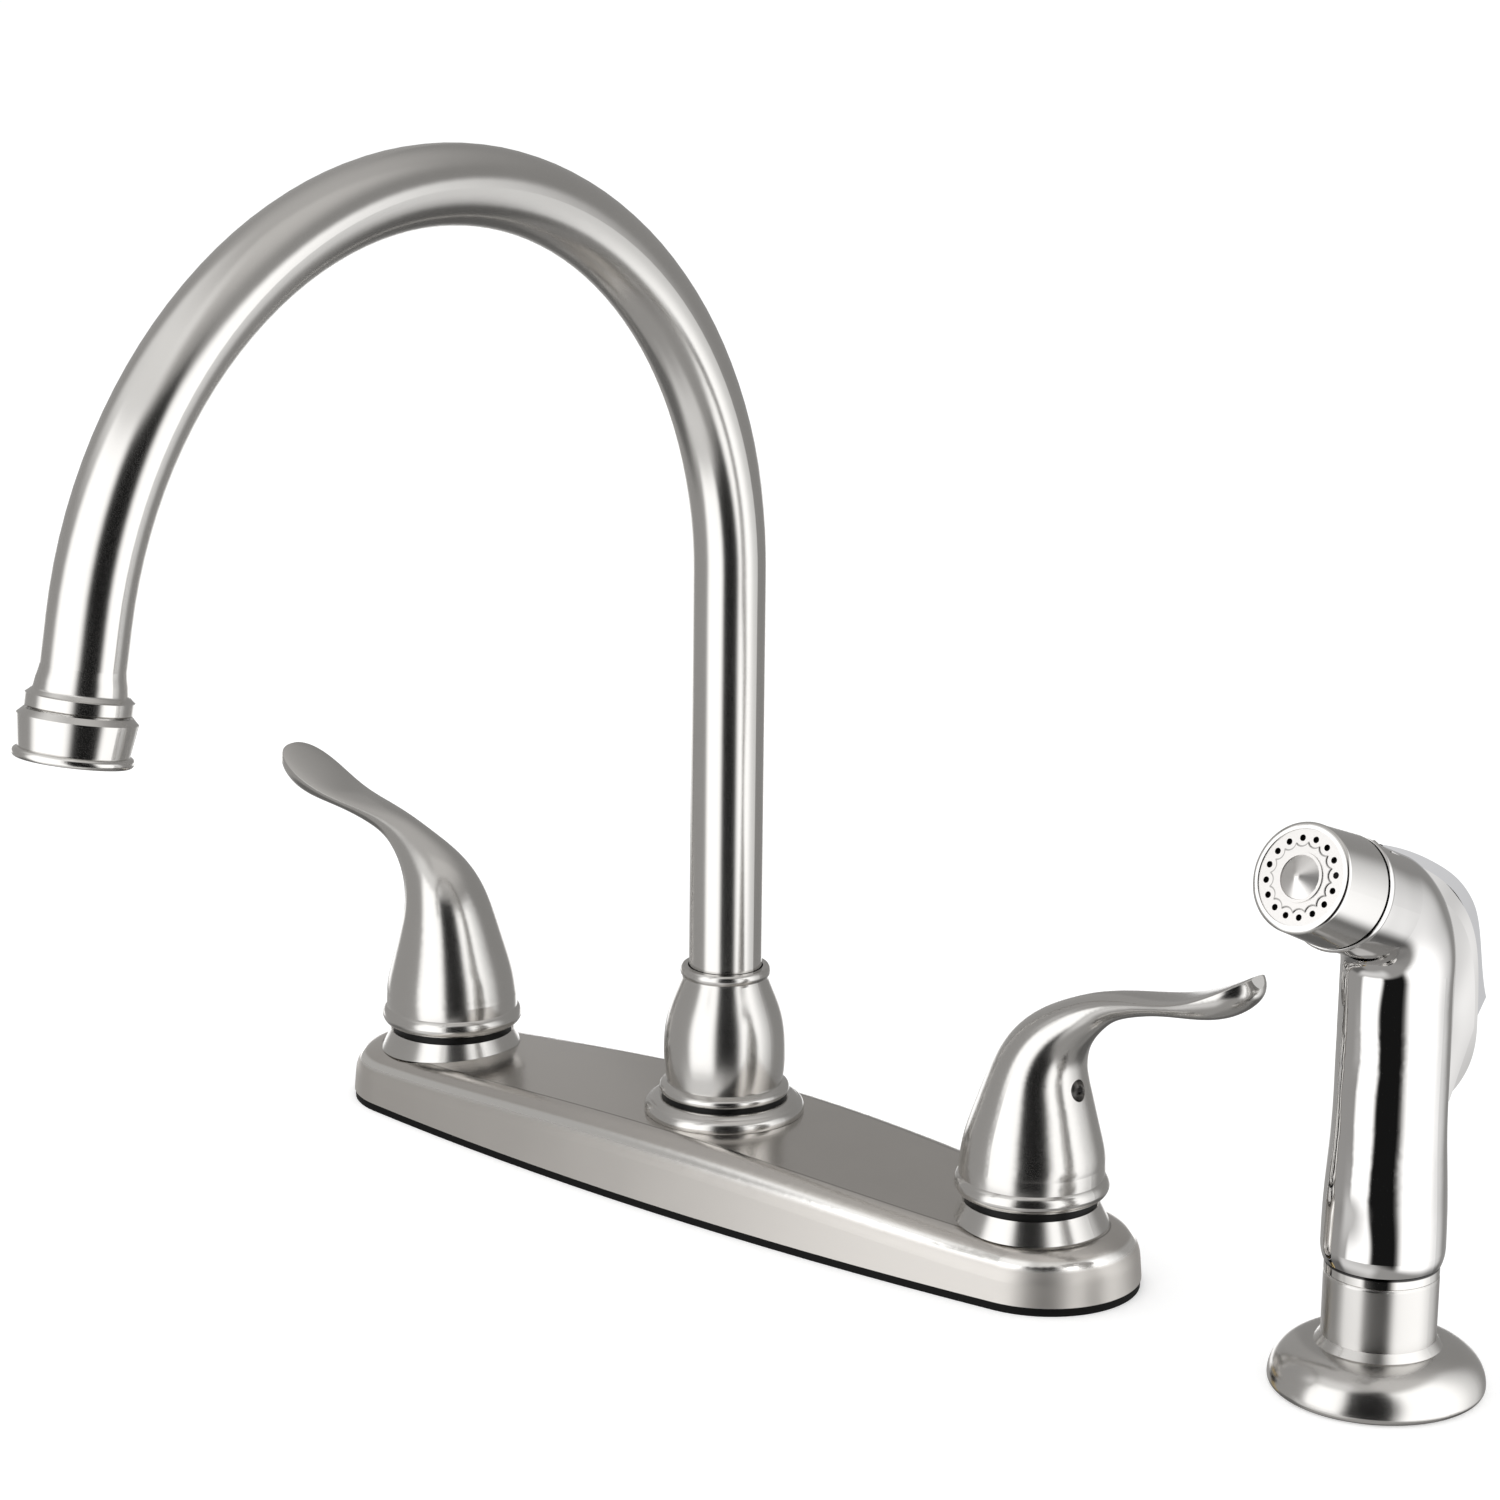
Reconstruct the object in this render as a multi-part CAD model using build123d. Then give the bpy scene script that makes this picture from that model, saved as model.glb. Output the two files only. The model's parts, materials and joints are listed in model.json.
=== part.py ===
"""Two-handle kitchen faucet with a high-arc swivel spout and a side spray.

The faucet stands on a crowned deck plate over three sink holes, and the side spray
stands in a fourth hole beside it.  Sizes are millimetres.  The origin is on the spout
axis at the sink deck, +X runs along the deck towards the spray, +Z is up, and the spout
reaches out over the sink along -Y.
"""

from build123d import *
import math
import os

os.makedirs("parts", exist_ok=True)

# ---------------------------------------------------------------------------
# Driving sizes
# ---------------------------------------------------------------------------

# Sink holes, on 4 inch centres
handle_offset = 101.6
spray_offset = 203.2

# Clearances
running_gap = 0.06
seat_gap = 0.3
thread_gap = 0.15

# Deck plate and gasket
plate_end_centre = 105.9
plate_end_radius = 24.7
plate_half_depth = 31.1
plate_top = 20.7
crown_long_radius = 735.0
crown_cross_radius = 423.0
crown_flattening = 2.1
shoulder_radius = 8.2
plate_draft = 5.0
plate_wall = 1.6
gasket_thickness = 2.2
gasket_inset = 0.3

# Valve bodies, their shanks and what clamps them under the sink
shank_radius = 10.4
shank_length = 48.0
shank_bore_radius = 7.0
shank_chamfer = 0.8
shank_relief = 1.0
supply_thread_length = 24.0
valve_foot_radius = 15.5
valve_foot_height = 3.0
valve_barrel_radius = 12.4
valve_chamber_radius = 9.6
valve_rise = 8.4
sink_deck_thickness = 8.0
lock_washer_radius = 21.0
lock_washer_thickness = 1.6
lock_nut_radius = 17.0
lock_nut_height = 11.0
lock_nut_wings = 3

# Crossover tubes under the plate
crossover_radius = 5.2
crossover_wall = 0.9
crossover_height = 9.2

# Cartridges
cartridge_radius = 8.6
cartridge_rise = 12.9
disc_radius = 7.6
disc_thickness = 3.0
disc_port_radius = 1.9
bonnet_radius = 12.0
bonnet_height = 4.0
stem_radius = 4.5
stem_height = 29.0
stem_foot_radius = 6.4

# Handles: flange ring, black seal ring, skirt and lever
flange_top_radius = 17.2
flange_foot_radius = 20.0
flange_rise = 4.75
seal_ring_radius = 16.6
seal_ring_height = 1.6
bead_radius = 19.5
bead_lower_radius = 16.8
bead_height = 5.0
skirt_radius = 18.3
skirt_wall = 2.2
skirt_cavity_height = 15.0
set_screw_radius = 2.7
set_screw_length = 6.5
set_screw_height = 29.5
set_screw_hex = 2.5

# Lever stations: outward reach, height over the skirt's edge, lean of the section,
# half width, rise of the upper face and depth of the lower face
lever_stations = [
    (0.0, 8.5, 90.0, 18.2, 18.2, 18.2),
    (0.1, 15.5, 89.2, 17.15, 16.9, 17.25),
    (0.5, 22.5, 86.9, 15.4, 14.8, 15.2),
    (1.35, 29.4, 79.8, 13.65, 12.75, 13.05),
    (3.1, 36.2, 66.2, 11.9, 10.5, 10.95),
    (6.5, 42.2, 52.4, 9.9, 8.1, 8.85),
    (11.6, 47.2, 41.6, 7.7, 5.9, 6.75),
    (18.3, 51.9, 29.0, 5.95, 3.85, 5.1),
    (26.4, 55.4, 16.2, 5.75, 2.35, 4.2),
    (35.2, 57.5, 11.6, 6.55, 1.55, 3.7),
    (44.0, 59.6, 17.3, 7.8, 1.2, 4.3),
    (52.4, 62.8, 25.2, 8.6, 1.1, 6.1),
    (58.2, 65.8, 29.0, 7.9, 0.9, 6.2),
    (61.8, 67.9, 30.4, 6.0, 0.7, 5.1),
    (63.9, 69.2, 30.7, 2.4, 0.5, 2.6),
]

# Spout hub, bell nut and swivel joint
hub_foot_radius = 18.0
hub_foot_height = 3.2
hub_radius = 12.9
hub_rise = 18.8
hub_chamber_radius = 7.4
swivel_bore_radius = 11.0
swivel_bore_depth = 15.0
spout_flange_radius = 21.2
spout_flange_height = 3.9
spout_washer_radius = 16.6
spout_washer_height = 1.1
bell_bead_radius = 17.3
bell_bead_height = 2.9
bell_height = 34.6
bell_neck_radius = 11.3
bell_crease = 0.888
bell_swell = [(0.922, 0.225), (0.931, 0.364), (0.91, 0.514), (0.847, 0.656), (0.737, 0.801)]
bell_collar_radius = 11.9
bell_collar_height = 2.7
hose_nipple_radius = 6.6
hose_nipple_length = 34.0
hose_nipple_bore = 3.6
hose_thread_length = 20.0

# Spout tube and outlet
tube_radius = 9.6
tube_wall = 1.0
riser_top = 165.7
arc_radius = 106.8
outlet_lean = 11.0
outlet_straight = 9.85
flare_length = 5.6
flare_radius = 10.7
outlet_ring_radius = 11.95
outlet_ring_height = 4.0
outlet_ring_bevel = 1.0
outlet_ring_gap = 0.3
aerator_shoulder_radius = 13.3
aerator_waist_radius = 12.25
aerator_bead_radius = 13.3
aerator_height = 10.9
aerator_mouth_radius = 9.4

# Swivel sleeve on the tube's foot
sleeve_flange_radius = 12.0
sleeve_flange_height = 2.4
o_ring_section = 1.0
o_ring_levels = (3.5, 8.5)

# Diverter in the hub
diverter_seat_height = 8.0
diverter_piston_radius = 3.6
diverter_travel = 2.5
spring_wire = 0.45

# Side spray holder
spray_flange_radius = 25.5
spray_flange_height = 11.2
spray_flange_belly = 1.8
spray_flange_tuck = 2.0
spray_chamfer_radius = 15.1
spray_holder_radius = 13.5
spray_holder_foot = 13.1
spray_holder_height = 15.5
spray_band_height = 2.7
spray_band_groove = 0.3
spray_holder_round = 0.7
spray_shank_radius = 12.8
spray_shank_length = 42.0
spray_holder_bore = 11.2
spray_liner_wall = 1.2

# Side spray hand-piece, in its own frame with the nozzle towards -Y
spray_turn = -2.8
hand_edge_radius = 13.8
hand_edge_round = 3.6
hand_foot_radius = 14.5
hand_waist_radius = 13.35
hand_radius = 13.15
elbow_radius = 19.0
nozzle_corner = 115.4
nozzle_elevation = 22.3
neck_radius = 13.4
collar_radius = 13.9
collar_start = 25.4
collar_length = 2.0
nozzle_groove = 0.6
nozzle_back_radius = 13.3
nozzle_front_radius = 12.65
nozzle_face_distance = 43.2
face_radius = 11.0
face_thickness = 1.8
face_hole_count = 16
face_hole_circle = 8.94
face_hole_radius = 0.75
face_hole_turn = 14.5
face_scallop_radius = 1.9
face_step_radius = 7.95
face_step_height = 0.25
cone_radius = 5.0
cone_ring_radius = 5.7
cone_height = 2.4
plug_radius = 9.7
plug_length = 22.0

# Trigger and its valve, in the hand-piece's frame
housing_half_width = 6.7
swell_half_width = 9.3
trigger_half_width = 4.9
trigger_side_gap = 0.3
trigger_pin_radius = 1.25
trigger_pivot = (-11.0, 130.2)
trigger_press = 5.0
valve_height = 100.0
valve_stem_radius = 1.8
valve_button_radius = 3.2
valve_travel = 2.6
valve_spring_length = 7.5
valve_button_height = 1.6


# ---------------------------------------------------------------------------
# Levels worked out from the driving sizes
# ---------------------------------------------------------------------------


def crown_height(x, y):
    """Height of the plate's crowned top, which flattens out towards both handles."""
    cross_drop = crown_cross_radius - math.sqrt(crown_cross_radius**2 - y**2)
    long_drop = x**2 / (2 * crown_long_radius) - crown_flattening * (x / 100) ** 4
    return plate_top - long_drop - cross_drop


handle_deck = crown_height(handle_offset, 0)
valve_top = handle_deck + valve_rise
flange_top = handle_deck + flange_rise
handle_base = flange_top + seal_ring_height + seat_gap
cartridge_floor = gasket_thickness + valve_foot_height + 1.2
disc_seat = cartridge_floor + 0.6
rotor_seat = disc_seat + disc_thickness
stem_seat = rotor_seat + disc_thickness
cartridge_top = handle_deck + cartridge_rise
bonnet_seat = valve_top
stem_top = handle_base + stem_height

spout_flange_top = plate_top + spout_flange_height
bell_base = spout_flange_top + spout_washer_height
hub_top = plate_top + hub_rise
swivel_floor = hub_top - swivel_bore_depth
bell_neck = bell_base + bell_height - bell_collar_height
bell_top = bell_base + bell_height
sleeve_foot = swivel_floor + 1.0
sleeve_shoulder = hub_top + 0.15
sleeve_top = sleeve_shoulder + sleeve_flange_height

holder_top = spray_holder_foot + spray_holder_height + spray_band_height
hand_foot = holder_top + seat_gap


# ---------------------------------------------------------------------------
# Helpers
# ---------------------------------------------------------------------------

on_end = (Align.CENTER, Align.CENTER, Align.MIN)
hung = (Align.CENTER, Align.CENTER, Align.MAX)


def rod(radius, bottom, top):
    """Solid cylinder on the Z axis between two heights."""
    length = top - bottom
    return Pos(0, 0, bottom) * Cylinder(radius, length, align=on_end)


def ring(outer, inner, bottom, top):
    """Turned ring on the Z axis between two heights."""
    bore = rod(inner, bottom - 1, top + 1)
    return rod(outer, bottom, top) - bore


def turned(*outline):
    """Revolve a closed outline, drawn as radius and height, about the Z axis."""
    face = make_face(Curve() + list(outline))
    return revolve(Plane.XZ * face, Axis.Z)


def turned_points(points):
    """Revolve a straight-sided outline given as radius and height."""
    return turned(Polyline(*points, close=True))


def helix_spring(coil_radius, wire_radius, bottom, top, turns):
    """Compression spring standing on the Z axis."""
    low = bottom + wire_radius
    pitch = (top - bottom - 2 * wire_radius) / turns
    path = Pos(0, 0, low) * Helix(pitch, pitch * turns, coil_radius)
    section = Plane(origin=path @ 0, z_dir=path % 0) * Circle(wire_radius)
    return sweep(section, path)


def save(name, shape):
    """Write one piece as its own STEP file."""
    shape.label = name
    export_step(shape, f"parts/{name}.step")


def on_handle(side, shape):
    """Move a piece built on the Z axis to the left (-1) or right (+1) handle."""
    turn = 180 if side < 0 else 0
    return Pos(side * handle_offset, 0, 0) * Rot(0, 0, turn) * shape


# ---------------------------------------------------------------------------
# Deck plate and gasket
# ---------------------------------------------------------------------------


def plate_plan(inset):
    """Plan outline: two end arcs joined by bowed front and back edges, moved inwards."""
    end_radius = plate_end_radius - inset
    half_depth = plate_half_depth - inset
    bow_radius = (plate_end_centre**2 + half_depth**2 - end_radius**2) / (2 * (half_depth - end_radius))
    bow_centre = bow_radius - half_depth
    reach = bow_radius - end_radius
    meet_x = plate_end_centre + end_radius * plate_end_centre / reach
    meet_y = end_radius * bow_centre / reach
    tip_x = plate_end_centre + end_radius
    front = ThreePointArc((-meet_x, -meet_y), (0, -half_depth), (meet_x, -meet_y))
    right = ThreePointArc((meet_x, -meet_y), (tip_x, 0), (meet_x, meet_y))
    back = ThreePointArc((meet_x, meet_y), (0, half_depth), (-meet_x, meet_y))
    left = ThreePointArc((-meet_x, meet_y), (-tip_x, 0), (-meet_x, -meet_y))
    return make_face(Curve() + [front, right, back, left])


def crown_section(x, top):
    """Cross-section of the crown block, an arc over straight sides."""
    half = plate_half_depth + 20
    floor = -30.0
    drop = plate_top - top
    crest = crown_height(x, 0) - drop
    edge = crown_height(x, half) - drop
    arc = ThreePointArc((-half, edge), (0, crest), (half, edge))
    right = Line((half, edge), (half, floor))
    base = Line((half, floor), (-half, floor))
    left = Line((-half, floor), (-half, edge))
    return Pos(x, 0, 0) * (Plane.YZ * make_face(Curve() + [arc, right, base, left]))


def crown_block(top):
    """Everything below the crowned surface whose highest point is at the given height."""
    step = handle_offset / 3
    return loft([crown_section(step * index, top) for index in range(-4, 5)])


def plate_blank(inset, drop, bottom, edge_round):
    """Crowned plate with leaning walls and a rounded shoulder, shrunk for its inside."""
    flare = (gasket_thickness - bottom) * math.tan(math.radians(plate_draft))
    prism = Pos(0, 0, bottom) * extrude(plate_plan(inset - flare), plate_top + 10, taper=plate_draft)
    blank = prism & crown_block(plate_top - drop)
    top_edges = [
        edge
        for edge in blank.edges()
        if abs(edge.tangent_at(0.5).Z) < 0.5 and edge.center().Z > gasket_thickness + 4
    ]
    return fillet(top_edges, edge_round)


def deck_plate():
    """Thin crowned shell, open below, with holes for both valves and the hub."""
    skin = plate_blank(0, 0, gasket_thickness, shoulder_radius)
    inside = plate_blank(plate_wall, plate_wall, -5, shoulder_radius - plate_wall)
    valve_hole = rod(valve_barrel_radius + seat_gap, 0, 30)
    holes = [Pos(side * handle_offset, 0, 0) * valve_hole for side in (-1, 1)]
    holes.append(rod(hub_radius + seat_gap, 0, 30))
    return skin - inside - holes


def deck_gasket():
    """Flat gasket under the plate, with holes for the shanks and the hose nipple."""
    sheet = extrude(plate_plan(gasket_inset), gasket_thickness)
    for side in (-1, 1):
        sheet -= Pos(side * handle_offset, 0, 0) * rod(shank_radius + seat_gap, -1, 10)
    return sheet - rod(hose_nipple_radius + seat_gap, -1, 10)


# ---------------------------------------------------------------------------
# Waterways under the plate
# ---------------------------------------------------------------------------


def valve_body():
    """Turned valve body: foot on the gasket, barrel through the plate, shank below."""
    foot_top = gasket_thickness + valve_foot_height
    relief = supply_thread_length + shank_chamfer - shank_length
    outside = turned_points(
        [
            (0, -shank_length),
            (shank_radius - shank_chamfer, -shank_length),
            (shank_radius, -shank_length + shank_chamfer),
            (shank_radius, relief),
            (shank_radius - shank_relief, relief + shank_relief),
            (shank_radius - shank_relief, relief + 2.0),
            (shank_radius, relief + 2.0 + shank_relief),
            (shank_radius, gasket_thickness),
            (valve_foot_radius, gasket_thickness),
            (valve_foot_radius, foot_top),
            (valve_barrel_radius, foot_top + 0.8),
            (valve_barrel_radius, valve_top),
            (0, valve_top),
        ]
    )
    inlet = rod(shank_bore_radius, -shank_length - 1, cartridge_floor - 2)
    chamber = rod(valve_chamber_radius, cartridge_floor, valve_top + 1)
    port = rod(disc_port_radius, cartridge_floor - 3, cartridge_floor + 1)
    body = outside - inlet - chamber
    body -= Pos(3.6, 0, 0) * port
    outlet = Plane.YZ * Circle(crossover_radius - crossover_wall)
    outlet_hole = Pos(-valve_barrel_radius - 4, 0, crossover_height) * extrude(outlet, 8)
    socket = Plane.YZ * Circle(crossover_radius + 0.02)
    socket_hole = Pos(-valve_barrel_radius - 8, 0, crossover_height) * extrude(socket, 9.2)
    return body - outlet_hole - socket_hole


def spout_hub():
    """Central casting: foot, threaded barrel with the swivel bore, hose nipple below."""
    foot_top = gasket_thickness + hub_foot_height
    relief = hose_thread_length + shank_chamfer - hose_nipple_length
    outside = turned_points(
        [
            (0, -hose_nipple_length),
            (hose_nipple_radius - shank_chamfer, -hose_nipple_length),
            (hose_nipple_radius, -hose_nipple_length + shank_chamfer),
            (hose_nipple_radius, relief),
            (hose_nipple_radius - shank_relief, relief + shank_relief),
            (hose_nipple_radius - shank_relief, relief + 2.0),
            (hose_nipple_radius, relief + 2.0 + shank_relief),
            (hose_nipple_radius, gasket_thickness),
            (hub_foot_radius, gasket_thickness),
            (hub_foot_radius, foot_top),
            (hub_radius, foot_top + 1.5),
            (hub_radius, hub_top),
            (0, hub_top),
        ]
    )
    chamber = rod(hub_chamber_radius, foot_top, swivel_floor + 1)
    swivel = rod(swivel_bore_radius, swivel_floor, hub_top + 1)
    nipple_bore = rod(hose_nipple_bore, -hose_nipple_length - 1, foot_top + 1)
    body = outside - chamber - swivel - nipple_bore
    for side in (-1, 1):
        socket = Plane.YZ * Circle(crossover_radius + 0.02)
        start = hub_radius - 1.0 if side > 0 else -hub_radius - 9.0
        body -= Pos(start, 0, crossover_height) * extrude(socket, 10)
        hole = Plane.YZ * Circle(crossover_radius - crossover_wall)
        inner = hub_chamber_radius - 2 if side > 0 else -hub_radius
        body -= Pos(inner, 0, crossover_height) * extrude(hole, hub_radius - hub_chamber_radius + 2)
    return body


def crossover_tube(side):
    """Copper tube that carries water from a valve body to the hub."""
    start = hub_radius - 1.0
    end = handle_offset - valve_barrel_radius + 1.2
    length = end - start
    profile = Circle(crossover_radius) - Circle(crossover_radius - crossover_wall)
    tube = Pos(start, 0, crossover_height) * extrude(Plane.YZ * profile, length)
    return tube if side > 0 else mirror(tube, Plane.YZ)


def lock_washer():
    """Wide steel washer that spreads the clamp load under the sink deck."""
    top = -sink_deck_thickness
    return ring(lock_washer_radius, shank_radius + seat_gap, top - lock_washer_thickness, top)


def lock_nut():
    """Plastic wing nut on the shank, turned by hand against the washer."""
    top = -sink_deck_thickness - lock_washer_thickness
    nut = rod(lock_nut_radius - 3, top - lock_nut_height, top) + rod(lock_nut_radius, top - 3, top)
    wing = Box(9, 4, lock_nut_height, align=(Align.MIN, Align.CENTER, Align.MAX))
    for index in range(lock_nut_wings):
        nut += Rot(0, 0, 360 / lock_nut_wings * index) * Pos(lock_nut_radius - 5, 0, top) * wing
    return nut - rod(shank_radius + thread_gap, top - lock_nut_height - 1, top + 1)


# ---------------------------------------------------------------------------
# Cartridges
# ---------------------------------------------------------------------------


def disc_ports(bottom, top):
    """The two water ports through a ceramic disc."""
    port = rod(disc_port_radius, bottom - 1, top + 1)
    return Pos(3.6, 0, 0) * port + Pos(-3.6, 0, 0) * port


def fixed_disc():
    """Ceramic disc that stays with the valve body."""
    return rod(disc_radius, disc_seat, rotor_seat) - disc_ports(disc_seat, rotor_seat)


def disc_seal():
    """Rubber seat under the fixed disc."""
    seat = rod(disc_radius, cartridge_floor, disc_seat)
    return seat - disc_ports(cartridge_floor, disc_seat)


def rotor_disc():
    """Ceramic disc turned by the stem."""
    bottom = rotor_seat + running_gap
    disc = rod(disc_radius - 0.4, bottom, stem_seat)
    slot = Box(2 * disc_radius, 2.4, 1.2, align=hung)
    return disc - disc_ports(bottom, stem_seat) - Pos(0, 0, stem_seat) * slot


def cartridge_housing():
    """Brass cartridge shell round the discs and the stem."""
    shell = rod(cartridge_radius, disc_seat, cartridge_top)
    shell -= rod(disc_radius + 0.1, disc_seat - 1, stem_seat + 3)
    shell -= rod(stem_radius + running_gap, 0, cartridge_top + 1)
    rim = ring(valve_chamber_radius - 0.1, cartridge_radius - 1, valve_top - 3, valve_top)
    return shell + rim


def bonnet_nut():
    """Hexagon nut that clamps the cartridge into the valve body."""
    top = bonnet_seat + bonnet_height
    hexagon = Pos(0, 0, bonnet_seat) * extrude(RegularPolygon(bonnet_radius, 6), bonnet_height)
    crown = rod(bonnet_radius - 0.3, bonnet_seat, top)
    return (hexagon & crown) - rod(cartridge_radius + thread_gap, bonnet_seat - 1, top + 1)


def valve_stem():
    """Brass stem: driving foot on the rotor disc, round shaft and flat for the screw."""
    key = Pos(0, 0, stem_seat) * Box(2 * disc_radius - 4, 2.2, 1.0, align=hung)
    foot = rod(stem_foot_radius, stem_seat, stem_seat + 2.6)
    shaft = rod(stem_radius, stem_seat, stem_top)
    beside = (Align.MIN, Align.CENTER, Align.CENTER)
    flat = Pos(stem_radius - 0.5, 0, handle_base + set_screw_height) * Box(4, 12, 10, align=beside)
    return key + foot + shaft - flat


# ---------------------------------------------------------------------------
# Handles
# ---------------------------------------------------------------------------


def handle_flange():
    """Conical ring whose foot is cut to the plate's crown."""
    inner = valve_barrel_radius + seat_gap
    foot = handle_deck - 2.5
    outside = turned_points(
        [
            (inner, foot),
            (flange_foot_radius, foot),
            (flange_foot_radius, handle_deck - 1.0),
            (flange_top_radius, flange_top),
            (inner, flange_top),
        ]
    )
    seated = Pos(handle_offset, 0, 0) * outside - crown_block(plate_top + 0.02)
    return Pos(-handle_offset, 0, 0) * seated


def seal_ring():
    """Black plastic ring between the flange and the turning handle."""
    inner = valve_barrel_radius + seat_gap
    return ring(seal_ring_radius, inner, flange_top, flange_top + seal_ring_height)


def lever_section(reach, height, lean, half_width, rise, depth):
    """Egg-shaped section: a low upper half-ellipse over a deeper lower one."""
    angle = math.radians(lean)
    along = (math.cos(angle), 0, math.sin(angle))
    plane = Plane(origin=(reach, 0, handle_base + height), x_dir=(0, 1, 0), z_dir=along)
    upward = plane.y_dir.Z * math.cos(angle) - plane.y_dir.X * math.sin(angle)
    top, low = (rise, depth) if upward > 0 else (depth, rise)
    upper = EllipticalCenterArc((0, 0), half_width, top, start_angle=0, arc_size=180)
    lower = EllipticalCenterArc((0, 0), half_width, low, start_angle=180, arc_size=180)
    return plane * make_face(Curve() + [upper, lower])


def lever_handle():
    """Skirt with a bead, and the lever that leans out of it to a spoon-shaped tip."""
    first = lever_stations[0]
    loft_base = handle_base + first[1]
    bead_mid = handle_base + bead_height / 2
    crease = handle_base + bead_height
    foot = (bead_lower_radius, handle_base)
    widest = (bead_radius, bead_mid)
    waist = (skirt_radius, crease)
    top = (first[3], loft_base)
    skirt = turned(
        Line((0, handle_base), foot),
        ThreePointArc(foot, (bead_radius - 0.7, bead_mid - 1.6), widest),
        ThreePointArc(widest, (bead_radius - 0.3, bead_mid + 1.4), waist),
        ThreePointArc(waist, (skirt_radius, crease + 1.5), top),
        Line(top, (0, loft_base)),
        Line((0, loft_base), (0, handle_base)),
    )
    lever = loft([lever_section(*station) for station in lever_stations])
    handle = skirt + lever
    cavity_radius = skirt_radius - skirt_wall
    cavity_top = handle_base + skirt_cavity_height - 4
    cavity = rod(cavity_radius, handle_base - 1, cavity_top)
    cavity += Pos(0, 0, cavity_top) * Cone(cavity_radius, cavity_radius - 4, 4, align=on_end)
    handle -= cavity
    handle -= rod(stem_radius + 0.02, handle_base, stem_top + 0.3)
    screw_axis = Plane(origin=(0, 0, handle_base + set_screw_height), z_dir=(1, 0, 0))
    handle -= extrude(screw_axis * Circle(set_screw_radius + 0.02), 30)
    return handle


def set_screw():
    """Socket set screw that grips the flat on the stem."""
    plane = Plane(origin=(stem_radius - 0.5, 0, handle_base + set_screw_height), z_dir=(1, 0, 0))
    body = extrude(plane * Circle(set_screw_radius), set_screw_length)
    socket = plane.offset(set_screw_length - 2.5) * RegularPolygon(set_screw_hex / math.sqrt(3), 6)
    return body - extrude(socket, 3)


# ---------------------------------------------------------------------------
# Spout base
# ---------------------------------------------------------------------------


def spout_flange():
    """Rounded ring on the plate round the foot of the bell."""
    inner = hub_radius + seat_gap
    low = plate_top - 1.5
    foot = (spout_flange_radius - 0.9, low)
    belly = (spout_flange_radius, plate_top + 1.2)
    shoulder = (spout_flange_radius - 1.5, spout_flange_top - 1.0)
    rounded = (spout_flange_radius - 2.7, spout_flange_top - 0.25)
    rim = (spout_flange_radius - 4.4, spout_flange_top)
    body = turned(
        Line((inner, low), foot),
        ThreePointArc(foot, belly, shoulder),
        ThreePointArc(shoulder, rounded, rim),
        Line(rim, (inner, spout_flange_top)),
        Line((inner, spout_flange_top), (inner, low)),
    )
    return body - crown_block(plate_top + 0.02)


def spout_washer():
    """Black washer under the bell nut."""
    return ring(spout_washer_radius, hub_radius + seat_gap, spout_flange_top, bell_base)


def bell_nut():
    """Bell-shaped nut: bead, swelling body, neck and collar, threaded on the hub."""
    crease = bell_base + bell_bead_height
    shoulder = [(bell_bead_radius * out, bell_base + bell_height * up) for out, up in bell_swell]
    shoulder.insert(0, (bell_bead_radius * bell_crease, crease))
    shoulder.append((bell_neck_radius, bell_neck - 0.6))
    bead_low = (bell_bead_radius - 0.5, bell_base)
    bead_mid = (bell_bead_radius, bell_base + 1.0)
    bead_high = (bell_bead_radius - 0.5, bell_base + 2.1)
    neck_low = (bell_neck_radius, bell_neck)
    collar_mid = (bell_collar_radius, bell_top - bell_collar_height / 2)
    neck_top = (bell_neck_radius, bell_top)
    outside = turned(
        Line((0, bell_base), bead_low),
        ThreePointArc(bead_low, bead_mid, bead_high),
        Line(bead_high, shoulder[0]),
        Spline(*shoulder),
        Line(shoulder[-1], neck_low),
        ThreePointArc(neck_low, collar_mid, neck_top),
        Line(neck_top, (0, bell_top)),
        Line((0, bell_top), (0, bell_base)),
    )
    thread = rod(hub_radius + thread_gap, bell_base - 1, hub_top - 1)
    cavity = rod(hub_radius + 0.4, hub_top - 1, sleeve_top + seat_gap)
    taper = Cone(hub_radius + 0.4, tube_radius + seat_gap, 5, align=on_end)
    cone = Pos(0, 0, sleeve_top + seat_gap) * taper
    neck = rod(tube_radius + seat_gap, bell_base, bell_top + 1)
    return outside - thread - cavity - cone - neck


# ---------------------------------------------------------------------------
# Spout
# ---------------------------------------------------------------------------


arc_centre = (0, -arc_radius, riser_top)
arc_sweep = 180 - outlet_lean
arc_end_angle = math.radians(arc_sweep)
arc_end = (
    0,
    arc_centre[1] + arc_radius * math.cos(arc_end_angle),
    riser_top + arc_radius * math.sin(arc_end_angle),
)
outlet_direction = (0, -math.sin(arc_end_angle), math.cos(arc_end_angle))
outlet_plane = Plane(origin=arc_end, x_dir=(1, 0, 0), z_dir=outlet_direction)


def at_outlet(distance, shape):
    """Place a piece built on +Z along the outlet's axis, a distance past the arc."""
    return outlet_plane.offset(distance).location * shape


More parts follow.
